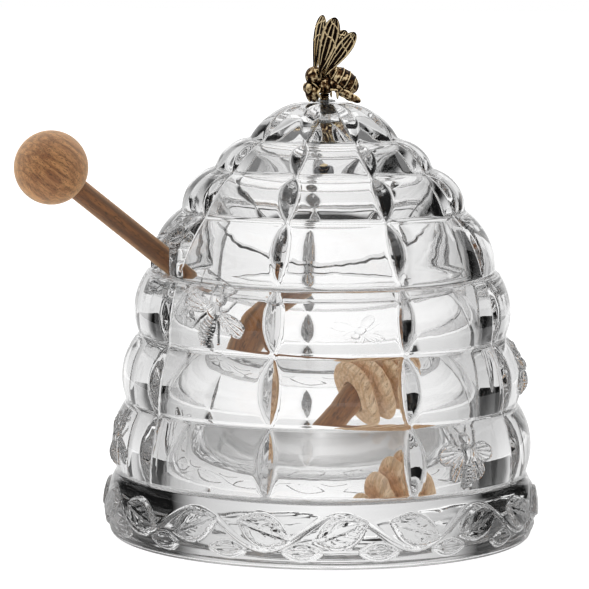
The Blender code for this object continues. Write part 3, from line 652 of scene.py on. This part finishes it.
# Cast brass with an antique finish: the maker darkens it all over and wipes what stands proud, so
# ribs, rims and veins shine pale, and the ground between them stays brown black and duller.
brass, tree, shader = new_material("antique_brass_patina")
worn = node(tree, "ShaderNodeAttribute", attribute_name="worn")
place = node(tree, "ShaderNodeTexCoord").outputs["Object"]
blotch = node(tree, "ShaderNodeTexNoise", {"Vector": place}, {"Scale": 1 / (1.2 * MM), "Detail": 4.0})
lift = node(tree, "ShaderNodeMath", {0: blotch.outputs["Fac"], 1: worn.outputs["Fac"]}, operation="ADD")
span = {"From Min": 0.78, "From Max": 0.88}
brown = node(tree, "ShaderNodeMapRange", {"Value": lift.outputs[0]}, span)
span = {"From Min": 0.88, "From Max": 0.98}
bright = node(tree, "ShaderNodeMapRange", {"Value": lift.outputs[0]}, span)
colours = {6: linear("#1b120f"), 7: linear("#6b4a2c")}
ground = node(tree, "ShaderNodeMix", {"Factor": brown.outputs[0]}, colours, data_type="RGBA")
links = {"Factor": bright.outputs[0], 6: ground.outputs[2]}
tone = node(tree, "ShaderNodeMix", links, {7: linear("#f3dcae")}, data_type="RGBA")
tree.links.new(tone.outputs[2], shader.inputs["Base Color"])
matt = node(tree, "ShaderNodeMapRange", {"Value": bright.outputs[0]}, {"To Min": 0.5, "To Max": 0.25})
tree.links.new(matt.outputs[0], shader.inputs["Roughness"])
shader.inputs["Metallic"].default_value = 1

mark_wear(stud, 3, 0.4 * MM, 0.2)
polish(stud, 60)
stud.data.materials.append(brass)
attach(stud, "lid")
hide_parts("finial_stud")


# Bee finial of the same brass, cast in one: thorax, collar, head with its eyes and feelers, six legs
# and a ringed abdomen that hangs down behind. Its belly rests on the stud, which is let into it.
belly = Vector((0, 0, 132.8 * MM))
abdomen_rings = 5
abdomen_columns = 64
abdomen_radius = 3.55 * MM
abdomen_length = 11.1 * MM
casting_grain = 0.12 * MM
bee_limbs = [  # start, end, width and depth of each feeler and leg on one side, in millimetres
    ((-5.6, 0.5, -2.4), (-4.4, 0.4, -4.8), 0.8, 0.8),
    ((-1.8, 1.8, -0.6), (-3.0, 3.3, -2.2), 1.0, 0.8),
    ((-3.0, 3.3, -2.2), (-1.8, 3.0, -3.9), 0.8, 0.7),
    ((0.6, 1.9, -1.2), (2.8, 3.6, -1.3), 1.0, 0.9),
    ((2.8, 3.6, -1.3), (3.0, 3.5, -3.9), 0.8, 0.8),
    ((0.6, 2.3, 1.2), (4.6, 3.2, -1.7), 1.2, 1.9),
    ((4.0, 3.1, -1.5), (8.2, 3.1, -3.8), 1.2, 2.3),
    ((6.6, 3.1, -3.0), (9.9, 3.1, -4.8), 1.2, 2.2),
]


def add_pod(bm, size, place):
    """An ellipsoid of three full sizes, put where a matrix sends it."""
    scale = Matrix.Diagonal((size[0] / 2, size[1] / 2, size[2] / 2, 1))
    bmesh.ops.create_uvsphere(bm, u_segments=32, v_segments=20, radius=1, matrix=place @ scale)


def bee_point(along, out, up):
    """A place on the bee in millimetres from the middle of its belly; its head is towards -X."""
    return belly + Vector((along, out, up)) * MM


def add_limb(bm, start, end, width, depth):
    """A flattened spindle between two places on the bee."""
    run = end - start
    turn = run.to_track_quat("X", "Z").to_matrix().to_4x4()
    place = Matrix.Translation((start + end) / 2) @ turn
    add_pod(bm, (run.length * 1.15, width * MM, depth * MM), place)


bm = bmesh.new()
add_pod(bm, (5.9 * MM, 5.9 * MM, 5.9 * MM), Matrix.Translation(belly))
add_pod(bm, (5.4 * MM, 5.9 * MM, 5.7 * MM), Matrix.Translation(bee_point(-3.2, 0, 2.6)))
collar = Matrix.Translation(bee_point(-3.4, 0, 0.1)) @ Matrix.Rotation(math.radians(-50), 4, "Y")
add_pod(bm, (0.9 * MM, 4.8 * MM, 5.2 * MM), collar)
tilted = Matrix.Translation(bee_point(-3.95, 0, -2.0)) @ Matrix.Rotation(math.radians(-25), 4, "Y")
add_pod(bm, (3.9 * MM, 4.5 * MM, 6.6 * MM), tilted)
for side in (-1, 1):
    add_pod(bm, (2.0 * MM, 1.5 * MM, 3.0 * MM), Matrix.Translation(bee_point(-5.2, side * 1.7, -0.9)))
    for (along, out, up), (end_along, end_out, end_up), width, depth in bee_limbs:
        start = bee_point(along, side * out, up)
        add_limb(bm, start, bee_point(end_along, side * end_out, end_up), width, depth)
abdomen_place = Matrix.Translation(bee_point(5.2, 0, 1.2)) @ Matrix.Rotation(math.radians(120), 4, "Y")
sections = []
for share in np.linspace(0.004, 0.996, 90):
    swell = math.sqrt(1 - (2 * share - 1) ** 2)
    phase = share * abdomen_rings % 1
    crest = 0.22 * MM * ridge(phase - 0.16, 0.12) - 0.3 * MM * ridge(phase, 0.06)
    radius = abdomen_radius * swell + crest * swell
    sections.append(plain_ring((radius, abdomen_length * (0.5 - share)), abdomen_columns))
loops = [[bm.verts.new(abdomen_place @ Vector(point)) for point in section] for section in sections]
for first, second in zip(loops, loops[1:]):
    for step in range(abdomen_columns):
        after = (step + 1) % abdomen_columns
        bm.faces.new((first[step], first[after], second[after], second[step]))
bm.faces.new(loops[0])
bm.faces.new(loops[-1])
bee = piece_from("cast_bee", bm)
melt = bee.modifiers.new("cast in one", "REMESH")
melt.mode = "VOXEL"
melt.voxel_size = casting_grain
graph = bpy.context.evaluated_depsgraph_get()
cast = bpy.data.meshes.new_from_object(bee.evaluated_get(graph))
bee.modifiers.clear()
bee.data = cast


# Wings of the bee: four thin blades of the same cast brass, let into its back. A raised rim, two long
# veins and curved cross veins are wiped bright against the dark cells, and dark outside the rim. Each
# has its side, its root on the bee, its lean and twist in degrees, and its length in millimetres.
wing_width = 5.8 * MM
blade_half = 0.16 * MM
vein_relief = 0.17 * MM
splay = math.radians(14)
slot_half = 0.5 * MM
wing_roots = {
    "left_fore_wing": (-1, (-2.61, 2.55, 2.7), 12, -38, 18.3),
    "left_hind_wing": (-1, (-1.29, 1.59, 2.19), 33, 14, 16.5),
    "right_fore_wing": (1, (-2.61, 2.55, 2.7), 12, -38, 18.3),
    "right_hind_wing": (1, (-1.29, 1.59, 2.19), 33, 14, 16.5),
}


def wing_relief(across, up):
    """Height of the rim and the veins at shares across and up the blade."""
    rim = ridge(np.abs(across) - 0.78, 0.1)
    fore_vein = ridge(across + 0.4 - 0.2 * up, 0.06)
    aft_vein = ridge(across - 0.45 + 0.3 * up, 0.06) * rise(up, 0.2, 0.4)
    cross = np.cos(math.tau * (up * 4.5 + 0.6 * across * np.abs(across))) * rise(up, 0.35, 0.5)
    proud = rim + (fore_vein + aft_vein) + rise(cross, 0.93, 1.0)
    return np.clip(proud, 0, 1) * rise(1 - up, 0.01, 0.05)


def wing_surface(length, columns=48, rows=130):
    """Rings of points round a wing from its root to its tip, and how bright each point is worn."""
    shares = np.concatenate([np.linspace(-1, 1, columns), np.linspace(1, -1, columns)[1:-1]])
    face = np.concatenate([np.ones(columns), -np.ones(columns - 2)])
    face[0] = face[columns - 1] = 0
    rings = []
    bright = []
    for up in np.linspace(0.004, 0.998, rows):
        half = wing_width / 2 * up ** 1.2 * (1 - up) ** 0.6 / 0.318
        half = max(half, 0.3 * MM * min(1, (1 - up) * 30))
        proud = wing_relief(shares, up)
        bright.append(proud)
        thick = (blade_half + vein_relief * proud) * face
        rings.append(np.stack([thick, shares * half, np.full(len(shares), up * length)], axis=1))
    root = np.array([[0, 0, 0]])
    tip = np.array([[0, 0, length]])
    return [root, *rings, tip], np.concatenate([[0], *bright, [0]])


for name, (side, root, lean, twist, length) in wing_roots.items():
    points, bright = wing_surface(length * MM)
    wing = skin(name + "_blade", points)
    wing.data.attributes.new("worn", "FLOAT", "POINT").data.foreach_set("value", 0.17 + 0.65 * bright)
    root = Matrix.Translation(bee_point(root[0], side * root[1], root[2]))
    tip_out = Matrix.Rotation(-side * splay, 4, "X")
    tip_aft = Matrix.Rotation(math.radians(lean), 4, "Y")
    face = Matrix.Rotation(side * math.radians(90 - twist), 4, "Z")
    placed = root @ tip_out @ tip_aft @ face
    corners = [(-0.6 * MM, -0.3 * MM), (0.6 * MM, -0.3 * MM), (2.0 * MM, 5 * MM), (-2.0 * MM, 5 * MM)]
    slot = drawn_outline("slot", corners, -slot_half, slot_half)
    slot.data.transform(placed)
    combine(bee, slot, "DIFFERENCE")
    wing.data.transform(placed)
    polish(wing, 60)
    wing.data.materials.append(brass)
    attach(wing, "lid")
    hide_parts(name)

rings = [np.array([[0, 0, lid_top]]), plain_ring((bore_radius, lid_top), 48)]
rings += [plain_ring((bore_radius, stud_top + fit), 48), np.array([[0, 0, stud_top + fit]])]
combine(bee, skin("bore", rings), "DIFFERENCE")
mark_wear(bee, 8, 0.12 * MM, 0.32)
polish(bee, 60)
bee.data.materials.append(brass)
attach(bee, "lid")
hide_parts("bee_body")


# Dipper, turned from beech: a ball, a dowel and a ribbed head on one axis, with the dowel glued into
# a socket of each. The ball is darker than the head, and the dowel is stained brown.
dipper_lean = math.radians(38.68 - 90)
dipper_foot = (31.09 * MM, 0, 19.54 * MM)
dipper_frame = Matrix.Translation(dipper_foot) @ Matrix.Rotation(dipper_lean, 4, "Y")
head_length = 27.3 * MM
head_radius = 12.2 * MM
head_fins = 6
fin_pitch = 4.9 * MM
fin_thickness = 2.8 * MM
fin_round = 1.2 * MM
groove_round = 0.7 * MM
core_radius = 6.0 * MM
dowel_radius = 3.2 * MM
socket_radius = 3.5 * MM
socket_depth = 8.5 * MM
dowel_chamfer = 0.4 * MM
ball_level = 144.3 * MM
ball_radius = 10.75 * MM


# Raw beech, turned and sanded: a dry face with a soft pale sheen and no gloss. Streaks 1.4 mm wide and
# 22 mm long run along the axis, with growth lines 2 mm apart across them. Real pores and ray flecks
# are finer than a tenth of a millimetre, and are drawn 0.3 mm wide and 1.3 mm long so that they show.
def beech(name, pale, deep, fleck, lines):
    """Beech of a pale, a deep and a fleck colour, and how clear its growth lines are."""
    material, tree, shader = new_material("raw_" + name)
    place = node(tree, "ShaderNodeTexCoord").outputs["Object"]
    angle = {"Angle": -dipper_lean}
    upright = node(tree, "ShaderNodeVectorRotate", {"Vector": place}, angle, rotation_type="Y_AXIS")
    place = upright.outputs[0]
    scale = {"Scale": (0.7 / MM, 0.7 / MM, 0.045 / MM)}
    drawn = node(tree, "ShaderNodeMapping", {"Vector": place}, scale)
    bands = node(tree, "ShaderNodeTexNoise", {"Vector": drawn.outputs[0]}, {"Scale": 1.0, "Detail": 5.0})
    span = {"From Min": 0.38, "From Max": 0.62}
    share = node(tree, "ShaderNodeMapRange", {"Value": bands.outputs["Fac"]}, span)
    colours = {6: linear(pale), 7: linear(deep)}
    ground = node(tree, "ShaderNodeMix", {"Factor": share.outputs[0]}, colours, data_type="RGBA")
    drawn = node(tree, "ShaderNodeMapping", {"Vector": place}, {"Scale": (1, 1, 0.25)})
    waves = {"Scale": 0.15 / MM, "Distortion": 5.0, "Detail": 2.0, "Detail Scale": 1.5}
    years = node(tree, "ShaderNodeTexWave", {"Vector": drawn.outputs[0]}, waves, bands_direction="X")
    span = {"From Min": 0.8, "To Max": lines}
    share = node(tree, "ShaderNodeMapRange", {"Value": years.outputs["Fac"]}, span)
    links = {"Factor": share.outputs[0], 6: ground.outputs[2]}
    ringed = node(tree, "ShaderNodeMix", links, {7: linear(fleck)}, data_type="RGBA")
    scale = {"Scale": (3.6 / MM, 3.6 / MM, 0.8 / MM)}
    drawn = node(tree, "ShaderNodeMapping", {"Vector": place}, scale)
    pores = node(tree, "ShaderNodeTexNoise", {"Vector": drawn.outputs[0]}, {"Scale": 1.0, "Detail": 2.0})
    span = {"From Min": 0.54, "From Max": 0.68, "To Max": 0.85}
    share = node(tree, "ShaderNodeMapRange", {"Value": pores.outputs["Fac"]}, span)
    links = {"Factor": share.outputs[0], 6: ringed.outputs[2]}
    tone = node(tree, "ShaderNodeMix", links, {7: linear(fleck)}, data_type="RGBA")
    tree.links.new(tone.outputs[2], shader.inputs["Base Color"])
    shader.inputs["Roughness"].default_value = 0.55
    shader.inputs["Specular IOR Level"].default_value = 0.5
    shader.inputs["Sheen Weight"].default_value = 0.8
    shader.inputs["Sheen Roughness"].default_value = 0.6
    shader.inputs["Sheen Tint"].default_value = linear("#ffdcb2")
    depth = {"Strength": 0.3, "Distance": 0.05 * MM}
    bump = node(tree, "ShaderNodeBump", {"Height": pores.outputs["Fac"]}, depth)
    tree.links.new(bump.outputs["Normal"], shader.inputs["Normal"])
    return material


def turned_piece(name, section, material, part, columns=128):
    """A piece turned on the dipper's axis from a section that starts and ends on the axis."""
    rings = [plain_ring(point, columns) for point in section[1:-1]]
    rings.insert(0, np.array([[0, 0, section[0][1]]]))
    rings.append(np.array([[0, 0, section[-1][1]]]))
    made = skin(name, rings)
    made.data.transform(dipper_frame)
    polish(made)
    made.data.materials.append(material)
    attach(made, "dipper")
    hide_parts(part)


section = [(0, head_length - socket_depth), (socket_radius, head_length - socket_depth)]
section += [(socket_radius, head_length - 0.3 * MM), (socket_radius + 0.3 * MM, head_length)]
for fin in range(head_fins):
    upper = head_length - fin * fin_pitch
    lower = upper - fin_thickness
    radius = head_radius * (1 - 0.24 * (2 * fin / (head_fins - 1) - 1) ** 2)
    edge = radius - fin_round
    section += corner_points((edge, upper - fin_round), fin_round, 90, 0, 6)
    section += corner_points((edge, lower + fin_round), fin_round, 0, -90, 6)
    if fin < head_fins - 1:
        edge = core_radius + groove_round
        section += corner_points((edge, lower - groove_round), groove_round, 90, 180, 4)
        section += corner_points((edge, lower - 2 * groove_round), groove_round, 180, 270, 4)
section += [(5.2 * MM, -1.4 * MM), (4.6 * MM, -2.0 * MM), (3.6 * MM, -2.2 * MM), (0, -2.2 * MM)]
beech_head = beech("beech_head", "#e9cda9", "#c79e72", "#865b39", 0.45)
turned_piece("ribbed_head", section, beech_head, "dipper_head")

dowel_low = head_length - socket_depth + fit
dowel_top = ball_level - ball_radius + socket_depth - fit
dowel_end = dowel_radius - dowel_chamfer
section = [(0, dowel_low), (dowel_end, dowel_low), (dowel_radius, dowel_low + dowel_chamfer)]
section += [(dowel_radius, level) for level in np.linspace(dowel_low, dowel_top, 12)[1:-1]]
section += [(dowel_radius, dowel_top - dowel_chamfer), (dowel_end, dowel_top), (0, dowel_top)]
beech_dowel = beech("beech_dowel", "#9a6335", "#65391b", "#3a210f", 0.35)
turned_piece("dowel", section, beech_dowel, "dipper_rod", 64)

socket_end = ball_level - ball_radius + socket_depth
mouth = math.degrees(math.asin(socket_radius / ball_radius))
section = [(0, socket_end), (socket_radius, socket_end)]
section += corner_points((0, ball_level), ball_radius, -90 + mouth, 90, 60)
beech_ball = beech("beech_ball", "#d0945c", "#985e33", "#452711", 0.35)
turned_piece("ball", section, beech_ball, "dipper_knob")


# Studio: a white table and a white sweep behind the pot, black boards at both sides, and a dark room
# with three windows. The crystal takes its white panels from the sweep and the table, and its dark
# lines and edges from the boards. The studio is turned with the view that the photo has of the pot.
view_turn = math.radians(-15)
table_mesh = bpy.data.meshes.new("table")
corners = [(-0.32, -0.6, 0), (0.32, -0.6, 0), (0.32, 3, 0), (-0.32, 3, 0)]
table_mesh.from_pydata(corners, [], [(0, 1, 2, 3)])
table = bpy.data.objects.new("table", table_mesh)
table.location.z = -0.2 * MM
table.rotation_euler.z = view_turn
bpy.context.scene.collection.objects.link(table)

# Matt white paper that glows, which is painted light: plain white in view, it glows to light the pot
# from below, and seen through the crystal its glow is brightest behind the pot and less towards its
# sides.
glowing_paper, tree, shader = new_material("glowing_white_paper")
shader.inputs["Base Color"].default_value = linear("#b8b8b8")
shader.inputs["Roughness"].default_value = 0.9
shader.inputs["Specular IOR Level"].default_value = 0
shader.inputs["Emission Color"].default_value = (1, 1, 1, 1)
path = node(tree, "ShaderNodeLightPath")
place = node(tree, "ShaderNodeTexCoord").outputs["Object"]
split = node(tree, "ShaderNodeSeparateXYZ", {"Vector": place})
links = {0: split.outputs["X"], 1: split.outputs["Y"]}
turned = node(tree, "ShaderNodeMath", links, operation="ARCTAN2")
off_back = node(tree, "ShaderNodeMath", {0: turned.outputs[0]}, operation="ABSOLUTE")
# Painted light: the paper's own glow, falling off from behind the pot towards its sides, and raised for
# the camera and for the light that reaches matt surfaces.
fall = {"From Max": math.radians(70), "To Min": 0.62, "To Max": 0.12}
glow = node(tree, "ShaderNodeMapRange", {"Value": off_back.outputs[0]}, fall)
for ray, level in (("Is Camera Ray", 0.85), ("Diffuse Depth", 0.75)):
    seen = node(tree, "ShaderNodeMath", {0: path.outputs[ray]}, {1: level}, operation="MULTIPLY")
    glow = node(tree, "ShaderNodeMath", {0: glow.outputs[0], 1: seen.outputs[0]}, operation="MAXIMUM")
tree.links.new(glow.outputs[0], shader.inputs["Emission Strength"])
table.data.materials.append(glowing_paper)

# The studio round the pot is drawn by direction: up, and left and right as angles off the back.
world = bpy.data.worlds.new("studio")
bpy.context.scene.world = world
world.use_nodes = True
tree = world.node_tree
surround = tree.nodes["Background"]
path = node(tree, "ShaderNodeLightPath")
way = node(tree, "ShaderNodeTexCoord").outputs["Generated"]
angle = {"Angle": -view_turn}
ahead = node(tree, "ShaderNodeVectorRotate", {"Vector": way}, angle, rotation_type="Z_AXIS")
split = node(tree, "ShaderNodeSeparateXYZ", {"Vector": ahead.outputs[0]})
up = split.outputs["Z"]
mirrored = node(tree, "ShaderNodeMath", {0: split.outputs["X"]}, {1: -1.0}, operation="MULTIPLY")
left = node(tree, "ShaderNodeMath", {0: mirrored.outputs[0], 1: split.outputs["Y"]}, operation="ARCTAN2")
right = node(tree, "ShaderNodeMath", {0: left.outputs[0]}, {1: -1.0}, operation="MULTIPLY")
off_back = node(tree, "ShaderNodeMath", {0: left.outputs[0]}, operation="ABSOLUTE")

# The boards start some 30 degrees off the back of the pot and end at a height of their own. A narrow
# dark strip across the sweep between them gives the thin dark lines of the lower tiers.
boards = []
for side, start, end, top, clear in ((left, 29, 37, 0.4, 0.5), (right, 25, 33, 0.79, 0.85)):
    span = {"From Min": math.radians(start), "From Max": math.radians(end)}
    wide = node(tree, "ShaderNodeMapRange", {"Value": side.outputs[0]}, span)
    tall = node(tree, "ShaderNodeMapRange", {"Value": up}, {"From Min": clear, "From Max": top})
    links = {0: wide.outputs[0], 1: tall.outputs[0]}
    boards.append(node(tree, "ShaderNodeMath", links, operation="MULTIPLY").outputs[0])
black = node(tree, "ShaderNodeMath", {0: boards[0], 1: boards[1]}, operation="MAXIMUM")
foot = node(tree, "ShaderNodeMapRange", {"Value": up}, {"From Min": -0.26, "From Max": -0.19})
black = node(tree, "ShaderNodeMath", {0: black.outputs[0], 1: foot.outputs[0]}, operation="MULTIPLY")
strip = node(tree, "ShaderNodeMapRange", {"Value": up}, {"From Min": 0.275, "From Max": 0.3})
top = node(tree, "ShaderNodeMapRange", {"Value": up}, {"From Min": 0.395, "From Max": 0.37})
span = {"From Min": math.radians(19), "From Max": math.radians(15)}
ends = node(tree, "ShaderNodeMapRange", {"Value": off_back.outputs[0]}, span)
for edge in (top, ends):
    strip = node(tree, "ShaderNodeMath", {0: strip.outputs[0], 1: edge.outputs[0]}, operation="MULTIPLY")
black = node(tree, "ShaderNodeMath", {0: black.outputs[0], 1: strip.outputs[0]}, operation="MAXIMUM")

# The windows are seen through the crystal but not mirrored on it: two at the sides and one in front.
quarter = {1: math.radians(90)}
off_side = node(tree, "ShaderNodeMath", {0: off_back.outputs[0]}, quarter, operation="SUBTRACT")
off_side = node(tree, "ShaderNodeMath", {0: off_side.outputs[0]}, operation="ABSOLUTE")
span = {"From Min": math.radians(22), "From Max": math.radians(15), "To Max": 0.06}
side_window = node(tree, "ShaderNodeMapRange", {"Value": off_side.outputs[0]}, span)
span = {"From Min": math.radians(150), "From Max": math.radians(157), "To Max": 0.3}
front_window = node(tree, "ShaderNodeMapRange", {"Value": off_back.outputs[0]}, span)
links = {0: side_window.outputs[0], 1: front_window.outputs[0]}
windows = node(tree, "ShaderNodeMath", links, operation="MAXIMUM")
clear = node(tree, "ShaderNodeMath", {1: path.outputs["Is Glossy Ray"]}, {0: 1.0}, operation="SUBTRACT")
links = {0: windows.outputs[0], 1: clear.outputs[0]}
windows = node(tree, "ShaderNodeMath", links, operation="MULTIPLY")

# The sweep is white at the back of the pot, and falls off towards the sides and over the top.
fall = {"From Max": math.radians(60), "To Min": 1.0, "To Max": 0.12}
sweep = node(tree, "ShaderNodeMapRange", {"Value": off_back.outputs[0]}, fall)
over = node(tree, "ShaderNodeMapRange", {"Value": up}, {"From Min": 0.77, "From Max": 0.87})
links = {"Factor": over.outputs[0], 2: sweep.outputs[0]}
sweep = node(tree, "ShaderNodeMix", links, {3: 0.2}, data_type="FLOAT")
links = {"Factor": black.outputs[0], 2: sweep.outputs[0]}
lit = node(tree, "ShaderNodeMix", links, {3: 0.006}, data_type="FLOAT")
lit = node(tree, "ShaderNodeMath", {0: lit.outputs[0], 1: windows.outputs[0]}, operation="MAXIMUM")

# Matt surfaces see a light that grows towards the back, a little more to the left, and an even one
# when they stand behind glass. Rough metal sees a light that grows towards the top.
soft = node(tree, "ShaderNodeMath", {0: split.outputs["Y"]}, {1: 0.95, 2: 1.05}, operation="MULTIPLY_ADD")
links = {0: split.outputs["X"], 2: soft.outputs[0]}
soft = node(tree, "ShaderNodeMath", links, {1: -0.06}, operation="MULTIPLY_ADD")
depth = path.outputs["Transmission Depth"]
through = node(tree, "ShaderNodeMath", {0: depth}, {1: 1.0}, operation="MINIMUM")
links = {"Factor": through.outputs[0], 2: soft.outputs[0]}
soft = node(tree, "ShaderNodeMix", links, {3: 1.2}, data_type="FLOAT")
depth = path.outputs["Diffuse Depth"]
matt_ray = node(tree, "ShaderNodeMath", {0: depth}, {1: 1.0}, operation="MINIMUM")
links = {"Factor": matt_ray.outputs[0], 2: lit.outputs[0], 3: soft.outputs[0]}
lit = node(tree, "ShaderNodeMix", links, data_type="FLOAT")
span = {"From Min": -0.4, "From Max": 0.6, "To Min": 0.08, "To Max": 0.95}
overhead = node(tree, "ShaderNodeMapRange", {"Value": up}, span)
mirror = path.outputs["Is Singular Ray"]
rough = node(tree, "ShaderNodeMath", {1: mirror}, {0: 1.0}, operation="SUBTRACT")
links = {0: path.outputs["Is Glossy Ray"], 1: rough.outputs[0]}
sheen_ray = node(tree, "ShaderNodeMath", links, operation="MULTIPLY")
links = {0: sheen_ray.outputs[0], 1: overhead.outputs[0]}
overhead = node(tree, "ShaderNodeMath", links, operation="MULTIPLY")
lit = node(tree, "ShaderNodeMath", {0: lit.outputs[0], 1: overhead.outputs[0]}, operation="MAXIMUM")
links = {0: lit.outputs[0], 1: path.outputs["Is Camera Ray"]}
lit = node(tree, "ShaderNodeMath", links, operation="MAXIMUM")
tree.links.new(lit.outputs[0], surround.inputs["Strength"])
surround.inputs["Color"].default_value = (1, 1, 1, 1)
world.cycles.sampling_method = "NONE"

# Camera where the photo was taken: some 1.2 m from the pot, 7 degrees down, with a long lens.
camera_data = bpy.data.cameras.new("camera")
camera_data.sensor_width = 36
camera_data.lens = 247.6
camera = bpy.data.objects.new("camera", camera_data)
bpy.context.scene.collection.objects.link(camera)
azimuth = math.radians(-14.96)
pitch = math.radians(6.96)
roll = math.radians(0.5)
aside = -8.3 * MM
back = 1184.7 * MM
height = 215.5 * MM
camera.location = (
    aside * math.cos(azimuth) + back * math.sin(azimuth),
    aside * math.sin(azimuth) - back * math.cos(azimuth),
    height,
)
turn = Matrix.Rotation(azimuth, 4, "Z") @ Matrix.Rotation(math.pi / 2 - pitch, 4, "X")
camera.rotation_mode = "QUATERNION"
camera.rotation_quaternion = (turn @ Matrix.Rotation(roll, 4, "Z")).to_quaternion()
bpy.context.scene.camera = camera
bpy.context.scene.view_settings.view_transform = "Standard"
bpy.context.scene.cycles.max_bounces = 32
bpy.context.scene.cycles.transmission_bounces = 32
bpy.context.scene.cycles.glossy_bounces = 16
